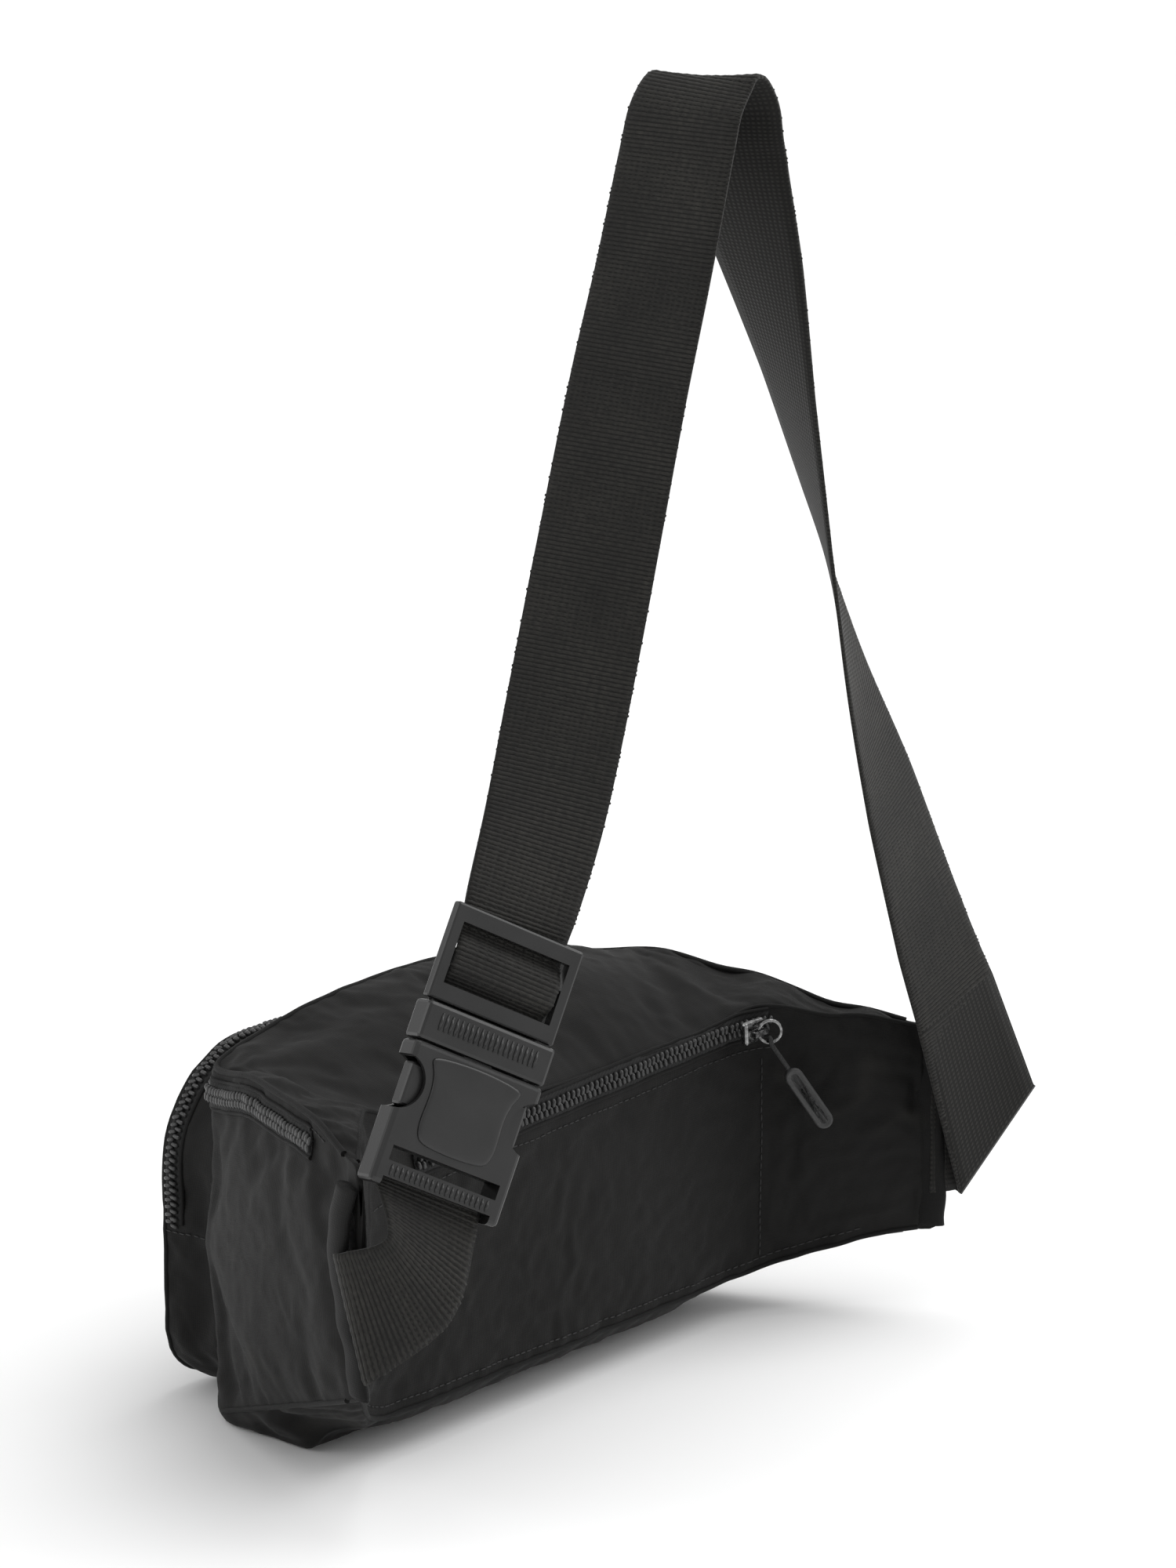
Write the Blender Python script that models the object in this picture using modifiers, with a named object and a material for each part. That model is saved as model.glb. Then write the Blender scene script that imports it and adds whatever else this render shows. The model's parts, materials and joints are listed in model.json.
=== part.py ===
"""Waist pack: soft pouch with front pocket, two wings, three zips, and a 38 mm
webbing belt with an adjuster slide and a side-release buckle.

Lengths below are millimetres and become metres as each mesh is made. +Z is up,
-Y is the front (pocket side), +Y the padded back, +X the wing with the buckle.
The origin is the middle of the flat base.
"""
import math

import bmesh
import bpy
from mathutils import Matrix, Vector

for old in list(bpy.data.objects):
    bpy.data.objects.remove(old, do_unlink=True)

MM = 0.001
GAP = 0.35                 # clearance between pieces that meet
SEAM = 2.8                 # how far a panel's edge stops short of a shared edge
CLOTH = 2.0                # fabric panel with its lining
PAD = 3.0                  # padded back panel
TAPE = 1.0                 # zip tape
WEB = 1.6                  # webbing thickness
WEB_WIDTH = 38.0

FRONT_Y = -35.0            # front face of the main pouch
BACK_Y = 35.0              # back face between the wings
CORNER_X = 95.0            # front corners
ROOT_X = 98.0              # where the back starts to bend into a wing
TIP_X = 149.0              # wing tips
TIP_Y = 80.0
WING_SLOPE = 0.88          # how fast the wings come round towards the wearer

NEAR_TIP_LOW = 50.0        # the belt pulls the near wing up
FAR_TIP_LOW = 30.0

RIM_MID = 136.0            # top edge of the front, at the middle
RIM_CORNER = 122.0         # and at the front corners
BACK_TOP = 108.0           # top edge of the back panel
BACK_BOTTOM = 15.5         # lower edge of the back panel
BASE_BACK_Y = 27.0         # the flat of the base ends here

POCKET_HALF = 88.0
POCKET_FACE_Y = -66.0
POCKET_TOP = 118.0
POCKET_BOTTOM = 4.0
POCKET_TOP_R = 40.0
POCKET_BOTTOM_R = 20.0
POCKET_SEAM_Z = 58.0       # where the zipped gusset meets the plain one


def lerp(a, b, t):
    return a + (b - a) * t


def knots(pairs, x):
    """Smooth value of x through a short list of (x, value)."""
    if x <= pairs[0][0]:
        return pairs[0][1]
    for (x0, v0), (x1, v1) in zip(pairs, pairs[1:]):
        if x <= x1:
            t = (x - x0) / (x1 - x0)
            return lerp(v0, v1, t * t * (3 - 2 * t))
    return pairs[-1][1]


def material(name, colour, roughness, metallic=0.0):
    made = bpy.data.materials.new(name)
    made.use_nodes = True
    shader = made.node_tree.nodes["Principled BSDF"]
    shader.inputs["Base Color"].default_value = (*colour, 1.0)
    shader.inputs["Roughness"].default_value = roughness
    shader.inputs["Metallic"].default_value = metallic
    return made


def nylon(name):
    return material("nylon " + name, (0.035, 0.035, 0.037), 0.8)


def plastic(name):
    return material("plastic " + name, (0.03, 0.03, 0.032), 0.4)


def steel(name):
    return material("metal " + name, (0.6, 0.6, 0.6), 0.3, 1.0)


def add_object(name, mesh, mat, matrix=None):
    if matrix is not None:
        mesh.transform(matrix)
    mesh.transform(Matrix.Scale(MM, 4))
    if mat is not None:
        mesh.materials.append(mat)
    made = bpy.data.objects.new(name, mesh)
    bpy.context.scene.collection.objects.link(made)
    return made


def shell(name, rows, thickness, mat, matrix=None):
    """A sheet through rows of points, given thickness behind its outer face."""
    mesh = bpy.data.meshes.new(name)
    across = len(rows[0])
    points = [p for row in rows for p in row]
    faces = []
    for i in range(len(rows) - 1):
        for j in range(across - 1):
            a = i * across + j
            faces.append((a, a + across, a + across + 1, a + 1))
    mesh.from_pydata(points, [], faces)
    made = add_object(name, mesh, mat, matrix)
    solid = made.modifiers.new("thickness", "SOLIDIFY")
    solid.thickness = thickness * MM
    solid.offset = -1.0
    return made


def spans(first, last, steps):
    return [lerp(first, last, i / steps) for i in range(steps + 1)]


def between(start, end, steps, bulge, up, inset=SEAM):
    """Points from start to end, short of both by the inset, bowed along up."""
    way = end - start
    length = way.length
    row = []
    for i in range(steps + 1):
        d = lerp(inset, length - inset, i / steps)
        row.append(start + way * (d / length) + up * bulge * math.sin(math.pi * d / length))
    return row


# Main pouch: the edges that the panels share, near wing at +X and far wing at -X.
END_RUN = Vector((TIP_X - CORNER_X, TIP_Y - FRONT_Y, 0))
NEAR_END_TOP = [(0.0, 122), (0.35, 129), (0.7, 130), (1.0, 124)]
FAR_END_TOP = [(0.0, 122), (0.2, 124), (0.45, 118), (0.75, 108), (1.0, 103)]
NEAR_BACK_TOP = [(0, BACK_TOP), (70, 112), (105, 124), (125, 126), (TIP_X, 124)]
FAR_BACK_TOP = [(0, BACK_TOP), (75, BACK_TOP), (100, 114), (125, 109), (TIP_X, 103)]
NEAR_BACK_LOW = [(85, BACK_BOTTOM), (TIP_X, NEAR_TIP_LOW)]
FAR_BACK_LOW = [(85, BACK_BOTTOM), (TIP_X, FAR_TIP_LOW)]


def end_point(side, t, edge):
    """A point of the front corner to wing tip line, edge 0 for its lower edge and 1 for its top."""
    low = lerp(3, NEAR_TIP_LOW if side > 0 else FAR_TIP_LOW, t)
    high = knots(NEAR_END_TOP if side > 0 else FAR_END_TOP, t)
    x = side * (CORNER_X + END_RUN.x * t)
    y = FRONT_Y + END_RUN.y * t
    return Vector((x, y, lerp(low, high, edge)))


def back_y(x):
    width = 4.0
    return BACK_Y + WING_SLOPE * width * math.log1p(math.exp((abs(x) - ROOT_X) / width))


def back_point(x, edge):
    low = knots(NEAR_BACK_LOW if x > 0 else FAR_BACK_LOW, abs(x))
    high = knots(NEAR_BACK_TOP if x > 0 else FAR_BACK_TOP, abs(x))
    return Vector((x, back_y(x), lerp(low, high, edge)))


def rim_point(x):
    drop = (RIM_MID - RIM_CORNER) * (abs(x) / CORNER_X) ** 2.5
    return Vector((x, FRONT_Y, RIM_MID - drop))


def outline_pair(a, edge):
    """Matching points of the front outline and the back outline, for a from -1 (far tip) to 1 (near tip)."""
    side = 1 if a > 0 else -1
    if abs(a) <= 0.5:
        x = CORNER_X * a * 2
        front = rim_point(x) if edge else Vector((x, FRONT_Y, 3))
        return front, back_point(ROOT_X * a * 2, edge)
    t = abs(a) * 2 - 1
    return end_point(side, t, edge), back_point(side * lerp(ROOT_X, TIP_X, t), edge)


front_rows = []
for x in spans(-CORNER_X + SEAM, CORNER_X - SEAM, 20):
    top = rim_point(x).z - SEAM
    front_rows.append([Vector((x, FRONT_Y, z)) for z in spans(3 + SEAM, top, 6)])
shell("front_panel", front_rows, CLOTH, nylon("front"))

for side, name in ((1, "near"), (-1, "far")):
    rows = []
    for t in spans(SEAM / END_RUN.length, 1 - 13 / END_RUN.length, 12):
        low = end_point(side, t, 0)
        high = end_point(side, t, 1)
        rows.append([Vector((low.x, low.y, z)) for z in spans(low.z + SEAM, high.z - 4.5, 6)])
    if side < 0:
        rows.reverse()
    shell("end_panel_" + name, rows, CLOTH, nylon("end " + name))

back_rows = []
for x in spans(-TIP_X + 12, TIP_X - 12, 36):
    low = back_point(x, 0)
    high = back_point(x, 1)
    back_rows.append([Vector((x, low.y, z)) for z in spans(high.z - SEAM, low.z + SEAM, 6)])
shell("back_panel", back_rows, PAD, nylon("back"))

top_rows = []
for a in spans(-0.9, 0.9, 40):
    front, back = outline_pair(a, 1)
    top_rows.append(between(front, back, 8, 5.0 * (1 - abs(a)), Vector((0, 0, 1)), 3.4))
shell("top_panel", top_rows, CLOTH, nylon("top"))

base_rows = []
for a in spans(-0.9, 0.9, 40):
    front, back = outline_pair(a, 0)
    row = between(back, front, 10, 0, Vector((0, 0, 1)), 4.5)
    for p in row:
        lift = knots([(BASE_BACK_Y, 0), (BACK_Y + 3, BACK_BOTTOM - 3)], p.y)
        if abs(a) <= 0.5:
            p.z = lift
        else:
            t = abs(a) * 2 - 1
            p.z = lerp(lift, p.z - 2.0, min(1.0, t * 4))
    base_rows.append(row)
shell("base_panel", base_rows, CLOTH, nylon("base"))


# Wing tips: the folded seam that closes each wing and holds the belt.
def box(name, low, high, mat, matrix=None, bevel=0.0, segments=2):
    mesh = bpy.data.meshes.new(name)
    grown = bmesh.new()
    bmesh.ops.create_cube(grown, size=1.0)
    for v in grown.verts:
        v.co = Vector([lerp(low[k], high[k], v.co[k] + 0.5) for k in range(3)])
    grown.to_mesh(mesh)
    grown.free()
    made = add_object(name, mesh, mat, matrix)
    if bevel:
        round_edges(made, bevel, segments)
    return made


def round_edges(made, width, segments=2):
    bevel = made.modifiers.new("rounded edges", "BEVEL")
    bevel.width = width * MM
    bevel.segments = segments
    bevel.limit_method = "ANGLE"
    bevel.angle_limit = math.radians(35)


cutters = bpy.data.collections.new("cutters")
cutters.hide_render = True
bpy.context.scene.collection.children.link(cutters)


def cutter(made):
    bpy.context.scene.collection.objects.unlink(made)
    cutters.objects.link(made)
    made.hide_render = True
    made.display_type = "WIRE"
    return made


def cut(target, tool, operation="DIFFERENCE"):
    boolean = target.modifiers.new(tool.name, "BOOLEAN")
    boolean.operation = operation
    boolean.solver = "EXACT"
    boolean.object = cutter(tool)


def plan_frame(point, direction):
    """Matrix whose X runs along a level direction, Y across it and Z up."""
    x = Vector((direction.x, direction.y, 0)).normalized()
    z = Vector((0, 0, 1))
    y = z.cross(x)
    made = Matrix((x, y, z)).transposed().to_4x4()
    made.translation = point
    return made


for side, name, low, high in ((1, "near", NEAR_TIP_LOW, 118.0), (-1, "far", FAR_TIP_LOW, 103.0)):
    along = Vector((side * 0.62, 0.78, 0))
    tip = plan_frame(Vector((side * TIP_X, TIP_Y, 0)), along)
    box("wing_seam_" + name, (-11.6, -1.6, low + 2), (2.5, 1.6, high - 2), nylon("seam " + name), tip, 0.6)


# Webbing: sweeps of a flat band, given by its centre line and its width direction.
def catmull(p0, p1, p2, p3, t):
    return 0.5 * ((2 * p1) + (p2 - p0) * t + (2 * p0 - 5 * p1 + 4 * p2 - p3) * t * t
                  + (3 * p1 - p0 - 3 * p2 + p3) * t ** 3)


def band_rows(stops, steps):
    """Rows of left and right edge points through (centre, width direction) stops."""
    rows = []
    last = len(stops) - 1
    for i in range(last):
        picks = [stops[max(0, i - 1)], stops[i], stops[i + 1], stops[min(last, i + 2)]]
        count = steps if i < last - 1 else steps + 1
        for k in range(count):
            t = k / steps
            centre = catmull(*[p for p, _ in picks], t)
            ahead = catmull(*[p for p, _ in picks], t + 0.02) - centre
            width = lerp(picks[1][1], picks[2][1], t)
            width = (width - ahead * (width.dot(ahead) / ahead.length_squared)).normalized()
            rows.append([centre - width * WEB_WIDTH / 2, centre + width * WEB_WIDTH / 2])
    return rows


def band(name, rows, mat):
    made = shell(name, rows, WEB, mat)
    made.modifiers["thickness"].offset = 0.0
    made.modifiers["thickness"].use_even_offset = True
    return made


# The buckle's own frame: X across the webbing, Y up the belt, Z out of its face,
# with Y = 0 at the mouth of the socket half.
BUCKLE_ACROSS = Vector((-0.81, 0.37, -0.455)).normalized()
BUCKLE_OUT = Vector((0.33, 0.93, 0.18))
BUCKLE_OUT = (BUCKLE_OUT - BUCKLE_ACROSS * BUCKLE_OUT.dot(BUCKLE_ACROSS)).normalized()
BUCKLE_UP = BUCKLE_OUT.cross(BUCKLE_ACROSS)
BUCKLE = Matrix((BUCKLE_ACROSS, BUCKLE_UP, BUCKLE_OUT)).transposed().to_4x4()
BUCKLE.translation = Vector((111.5, 93.6, 151.2))


def on_buckle(y, z):
    return (BUCKLE @ Vector((0, y, z)), BUCKLE_ACROSS)


SLIDE_BACK = -2.95         # webbing behind the slide's end bars
SLIDE_OVER = 1.2           # and over its middle bar
THREADING = [(6, -0.5), (10, -0.5), (14, SLIDE_BACK), (19.3, SLIDE_BACK)]
THREADING += [(25.6, SLIDE_OVER), (30.9, SLIDE_OVER), (38.2, SLIDE_BACK), (45, SLIDE_BACK)]
threaded_rows = []
for y in spans(6, 45, 32):
    centre, across = on_buckle(y, knots(THREADING, y))
    threaded_rows.append([centre - across * WEB_WIDTH / 2, centre + across * WEB_WIDTH / 2])
loop = [
    (Vector((74.0, 89.6, 219.0)), Vector((-0.77, 0.58, -0.26))),
    (Vector((59.5, 87.0, 253.0)), Vector((-0.65, 0.73, -0.2))),
    (Vector((44.0, 86.0, 299.5)), Vector((-0.49, 0.86, -0.15))),
    (Vector((29.0, 85.5, 346.5)), Vector((-0.39, 0.92, -0.12))),
    (Vector((15.5, 85.0, 384.0)), Vector((-0.31, 0.95, -0.09))),
    (Vector((4.5, 84.5, 417.0)), Vector((-0.27, 0.96, -0.05))),
    (Vector((-1.5, 84.2, 432.5)), Vector((-0.26, 0.97, 0.0))),
    (Vector((-11.5, 83.8, 440.5)), Vector((-0.25, 0.97, 0.0))),
    (Vector((-20.5, 83.4, 431.5)), Vector((-0.24, 0.97, 0.02))),
    (Vector((-25.5, 83.0, 415.0)), Vector((-0.19, 0.98, 0.08))),
    (Vector((-39.5, 83.0, 381.5)), Vector((0.1, 0.99, -0.03))),
    (Vector((-55.0, 83.5, 339.5)), Vector((0.43, 0.89, -0.15))),
    (Vector((-74.0, 84.0, 286.0)), Vector((0.67, 0.71, -0.23))),
    (Vector((-92.0, 85.0, 236.0)), Vector((0.82, 0.49, -0.3))),
    (Vector((-110.0, 86.5, 194.0)), Vector((0.91, 0.23, -0.35))),
    (Vector((-130.0, 89.5, 144.0)), Vector((0.91, 0.0, -0.38))),
    (Vector((-142.5, 92.0, 115.0)), Vector((0.88, -0.15, -0.42))),
]

# At the far wing the belt comes out level, folds over on a slant and goes up.
FOLD_R = 1.6
fold_high = Vector((-176.0, 100.2, 81.0))
fold_low = Vector((-154.8, 84.3, 43.0))
seam_high = Vector((-151.6, 83.2, 81.0))
seam_low = Vector((-151.6, 83.2, 43.0))
upward = (loop[-1][0] - (fold_high + fold_low) / 2).normalized()
slant = (fold_high - fold_low).normalized()
fold_out = slant.cross(upward).normalized()
if fold_out.y < 0:
    fold_out = -fold_out
fold_side = fold_out.cross(slant)
if fold_side.dot(upward) > 0:
    fold_side = -fold_side

strap_rows = threaded_rows[:-1] + band_rows([on_buckle(45, SLIDE_BACK)] + loop, 6)
last_left, last_right = strap_rows[-1]
front_shift = fold_out * 2 * FOLD_R
leg_left = fold_low + front_shift
leg_right = fold_high + front_shift
for t in (0.2, 0.4, 0.6, 0.8):
    strap_rows.append([last_left.lerp(leg_left, t), last_right.lerp(leg_right, t)])
if (last_left - leg_left).length > (last_left - leg_right).length:
    strap_rows = strap_rows[:-4]
    for t in (0.2, 0.4, 0.6, 0.8):
        strap_rows.append([last_left.lerp(leg_right, t), last_right.lerp(leg_left, t)])
    low_first = False
else:
    low_first = True
for angle in spans(0, math.pi, 8):
    turn = fold_out * FOLD_R * (1 + math.cos(angle)) + fold_side * FOLD_R * math.sin(angle)
    pair = [fold_low + turn, fold_high + turn]
    strap_rows.append(pair if low_first else pair[::-1])
for t in (0.5, 1.0):
    pair = [fold_low.lerp(seam_low, t), fold_high.lerp(seam_high, t)]
    strap_rows.append(pair if low_first else pair[::-1])
band("strap", strap_rows, material("webbing belt", (0.05, 0.05, 0.05), 0.9))

# The belt's end goes round the plug half's bar and lies back behind the slide.
WRAP_Z = -5.4
around = [on_buckle(30, WRAP_Z), on_buckle(22, WRAP_Z), on_buckle(14, WRAP_Z), on_buckle(7.5, WRAP_Z)]
band("strap_return", band_rows(around, 4), material("webbing return", (0.05, 0.05, 0.05), 0.9))

# Short webbing from the near wing to the socket half, round its bar and back.
stub = [
    (Vector((152.0, 84.4, 73.0)), Vector((0.0, 0.0, -1.0))),
    (Vector((155.5, 89.5, 73.5)), Vector((0.0, 0.1, -1.0))),
    (Vector((156.5, 97.5, 80.0)), Vector((-0.1, 0.6, -0.78))),
    (Vector((152.0, 101.0, 90.5)), Vector((-0.5, 0.6, -0.6))),
    (Vector((144.0, 98.5, 100.5)), Vector((-0.75, 0.45, -0.5))),
    on_buckle(-47, -0.6),
    on_buckle(-43, -0.5),
    on_buckle(-38, -0.5),
]
band("stub", band_rows(stub, 6), material("webbing stub", (0.05, 0.05, 0.05), 0.9))

# Socket half of the buckle.
HALF = 23.5
socket = box("buckle_socket", (-HALF, -45, -5.0), (HALF, 0, 5.0), plastic("socket"), BUCKLE, 1.6, 3)
cut(socket, box("cut_mouth", (-21.9, -28, -3.3), (21.9, 2, 3.3), None, BUCKLE))
cut(socket, box("cut_slot", (-19.6, -37.2, -8), (19.6, -32.5, 8), None, BUCKLE))
cut(socket, box("cut_web", (-19.6, -48, -1.8), (19.6, -35, 0.8), None, BUCKLE))
cut(socket, box("cut_end", (-19.6, -48, -8), (19.6, -42.2, 8), None, BUCKLE))
for side, name in ((-1, "left"), (1, "right")):
    mesh = bpy.data.meshes.new("cut_window_" + name)
    grown = bmesh.new()
    bmesh.ops.create_cone(grown, cap_ends=True, segments=32, radius1=8.5, radius2=8.5, depth=20,
                          matrix=Matrix.Translation((side * 24.5, -13.5, 0)))
    grown.to_mesh(mesh)
    grown.free()
    cut(socket, add_object("cut_window_" + name, mesh, None, BUCKLE))

# Plug half: its bar end, guide tongue and two spring arms.
plug = box("buckle_plug", (-HALF, GAP, -4.6), (HALF, 12.6, 4.6), plastic("plug"), BUCKLE, 1.2, 2)
cut(plug, box("cut_plug_web", (-19.6, 4.4, -1.9), (19.6, 15, 0.8), None, BUCKLE))
cut(plug, box("cut_plug_well", (-19.6, 4.4, -8), (19.6, 7.2, 0.8), None, BUCKLE))
cut(plug, box("cut_plug_top", (-19.6, 9.8, -8), (19.6, 15, 0.8), None, BUCKLE))
cut(plug, box("cut_plug_back", (-19.6, 4.6, -8), (19.6, 15, -4.3), None, BUCKLE))
cut(plug, box("tongue", (-5, -20, -2.6), (5, 2, 2.6), None, BUCKLE), "UNION")
for side, name in ((-1, "left"), (1, "right")):
    root = (min(side * 13.5, side * 17.5), -24, -2.6)
    end = (max(side * 13.5, side * 17.5), -0.25, 2.6)
    arm = box("arm_" + name, root, end, plastic("arm " + name), BUCKLE, 0.5, 1)
    low = (min(side * 14, side * 21.4), -20.5, -2.9)
    high = (max(side * 14, side * 21.4), -6.5, 2.9)
    pad = box("pad_" + name, low, high, None, BUCKLE, 1.0, 2)
    cut(arm, pad, "UNION")

# Adjuster slide.
slide = box("slide", (-HALF, 13.4, -1.8), (HALF, 44, 1.8), plastic("slide"), BUCKLE, 0.8, 2)
cut(slide, box("cut_slide_window", (-19.8, 19, -6), (19.8, 38.6, 6), None, BUCKLE))
cut(slide, box("slide_bar", (-21, 26, -1.8), (21, 30.5, 0.0), None, BUCKLE), "UNION")


# Front pocket: a face, a zipped gusset over the top and a plain one below.
def pocket_path(upper, steps):
    """Points (x, z) round the pocket's outline, from the near side over the top, or below."""
    path = []
    if upper:
        corners = [(1, POCKET_TOP_R, 0), (-1, POCKET_TOP_R, 90)]
        path.append((POCKET_HALF, POCKET_SEAM_Z + GAP))
    else:
        corners = [(-1, POCKET_BOTTOM_R, 180), (1, POCKET_BOTTOM_R, 270)]
        path.append((-POCKET_HALF, POCKET_SEAM_Z - GAP))
    for side, radius, start in corners:
        cx = side * (POCKET_HALF - radius)
        cz = POCKET_TOP - radius if upper else POCKET_BOTTOM + radius
        for angle in spans(start, start + 90, steps):
            turn = math.radians(angle)
            path.append((cx + radius * math.cos(turn), cz + radius * math.sin(turn)))
    path.append((-path[0][0], path[0][1]))
    return path


def outward(path, i):
    (x0, z0), (x1, z1) = path[max(0, i - 1)], path[min(len(path) - 1, i + 1)]
    return Vector((z1 - z0, 0, x0 - x1)).normalized()


def pocket_strip(name, path, y_back, y_front, lift, thickness, mat):
    rows = []
    for i, (x, z) in enumerate(path):
        out = outward(path, i) * lift
        rows.append([Vector((x, y, z)) + out for y in spans(y_back, y_front, 3)])
    return shell(name, rows, thickness, mat)


upper = pocket_path(True, 8)
lower = pocket_path(False, 6)
POCKET_BACK_Y = FRONT_Y - 0.4
pocket_strip("pocket_gusset_upper", upper, POCKET_BACK_Y, -63.6, 0, CLOTH, nylon("gusset upper"))
pocket_strip("pocket_gusset_lower", lower, POCKET_BACK_Y, -63.6, 0, CLOTH, nylon("gusset lower"))
face = bpy.data.meshes.new("pocket_face")
outline = [Vector((x, POCKET_FACE_Y, z)) for x, z in upper + lower]
face.from_pydata(outline, [], [tuple(range(len(outline)))])
face_object = add_object("pocket_face", face, nylon("pocket face"))
thick = face_object.modifiers.new("thickness", "SOLIDIFY")
thick.thickness = CLOTH * MM
thick.offset = -1.0

# Zips: tape lies on the fabric, the closed coil on the tape.
COIL = 1.6
ON_TAPE = TAPE + 2 * GAP
TAPE_HALF = 5.5
COIL_HALF = 2.7
zip_run = upper[1:-1]
pocket_strip("pocket_zip_tape", zip_run, -53.5, -63.4, TAPE + GAP, TAPE, nylon("pocket tape"))
pocket_strip("pocket_zip_coil", zip_run, -57.6, -62.8, ON_TAPE + COIL, COIL, plastic("pocket coil"))


def main_zip_samples():
    """(point of the rim, outward direction) from the near end round the front to the far end."""
    near_out = Vector((END_RUN.y, -END_RUN.x, 0)).normalized()
    far_out = Vector((-near_out.x, near_out.y, 0))
    front_out = Vector((0, -1, 0))
    samples = [(end_point(1, t, 1), near_out) for t in spans(0.72, 0.02, 10)]
    corner = Vector((CORNER_X, FRONT_Y, RIM_CORNER))
    samples += [(corner, near_out.lerp(front_out, k / 6).normalized()) for k in range(7)]
    samples += [(rim_point(x), front_out) for x in spans(CORNER_X - 3, -CORNER_X + 3, 24)]
    corner = Vector((-CORNER_X, FRONT_Y, RIM_CORNER))
    samples += [(corner, front_out.lerp(far_out, k / 6).normalized()) for k in range(7)]
    samples += [(end_point(-1, t, 1), far_out) for t in spans(0.02, 0.6, 8)]
    return samples


def zip_strip(name, samples, centre_drop, half, lift, thickness, mat):
    rows = []
    for point, out in samples:
        foot = point + out * lift
        rows.append([foot - Vector((0, 0, centre_drop + d)) for d in (-half, 0, half)])
    return shell(name, rows, thickness, mat)


MAIN_DROP = 8.5
rim = main_zip_samples()
zip_strip("main_zip_tape", rim, MAIN_DROP, TAPE_HALF, TAPE + GAP, TAPE, nylon("main tape"))
zip_strip("main_zip_coil", rim, MAIN_DROP, COIL_HALF, ON_TAPE + COIL, COIL, plastic("main coil"))

BACK_ZIP_FROM = -103.0     # the back zip runs straight, rising to the far end
BACK_ZIP_TO = 47.0
BACK_ZIP_FAR_Z = 107.5
BACK_ZIP_NEAR_Z = 100.0


def back_zip_z(x):
    return lerp(BACK_ZIP_FAR_Z, BACK_ZIP_NEAR_Z, (x - BACK_ZIP_FROM) / (BACK_ZIP_TO - BACK_ZIP_FROM))


back_line = []
for x in spans(BACK_ZIP_FROM, BACK_ZIP_TO, 24):
    slope = back_y(x + 0.5) - back_y(x - 0.5)
    back_line.append((Vector((x, back_y(x), back_zip_z(x))), Vector((-slope, 1, 0)).normalized()))
zip_strip("back_zip_tape", back_line, 0, TAPE_HALF - 0.5, TAPE + GAP, TAPE, nylon("back tape"))
zip_strip("back_zip_coil", back_line, 0, COIL_HALF, ON_TAPE + COIL, COIL, plastic("back coil"))

# Sliders, each with a ring, a short cord loop and a rubber tab.
SLIDER = (10.0, 8.0, 2.6)  # along the zip, across it, off it
OFF_COIL = ON_TAPE + COIL + GAP


def slider(name, point, out, along, mat):
    """A slider body on the coil with a raised bridge; returns the frame of its ring."""
    x = along.normalized()
    z = out.normalized()
    frame = Matrix((x, z.cross(x), z)).transposed().to_4x4()
    frame.translation = point + z * OFF_COIL
    length, width, height = SLIDER
    made = box(name, (-length / 2, -width / 2, 0), (length / 2, width / 2, height), mat, frame, 0.8, 2)
    bridge = (-3.6, -0.9, height - 0.6), (3.6, 0.9, height + 3.0)
    cut(made, box("bridge_" + name, *bridge, None, frame), "UNION")
    hole = (-2.4, -3, height + 0.3), (2.4, 3, height + 2.2)
    cut(made, box("eye_" + name, *hole, None, frame))
    return frame


def torus(name, major, minor, mat, matrix, steps=24, sides=8):
    rows = bmesh.new()
    rings = []
    for i in range(steps):
        a = 2 * math.pi * i / steps
        ring = []
        for j in range(sides):
            b = 2 * math.pi * j / sides
            r = major + minor * math.cos(b)
            ring.append(rows.verts.new((r * math.cos(a), r * math.sin(a), minor * math.sin(b))))
        rings.append(ring)
    for i in range(steps):
        for j in range(sides):
            k = (j + 1) % sides
            n = (i + 1) % steps
            rows.faces.new((rings[i][j], rings[n][j], rings[n][k], rings[i][k]))
    mesh = bpy.data.meshes.new(name)
    rows.to_mesh(mesh)
    rows.free()
    return add_object(name, mesh, mat, matrix)


RING_R = 4.0
RING_WIRE = 0.55
CORD_R = 0.8
TAB = (6.5, 25.0, 2.6)     # across, along, thick


def swept(name, points, radius, mat, steps=8):
    """A round cord through points, with flat ends."""
    curve = bpy.data.curves.new(name, "CURVE")
    curve.dimensions = "3D"
    curve.bevel_depth = radius * MM
    curve.bevel_resolution = 2
    curve.use_fill_caps = True
    spline = curve.splines.new("POLY")
    spline.points.add(len(points) - 1)
    for point, at in zip(spline.points, points):
        point.co = (at.x * MM, at.y * MM, at.z * MM, 1)
    curve.materials.append(mat)
    made = bpy.data.objects.new(name, curve)
    bpy.context.scene.collection.objects.link(made)
    return made


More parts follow.
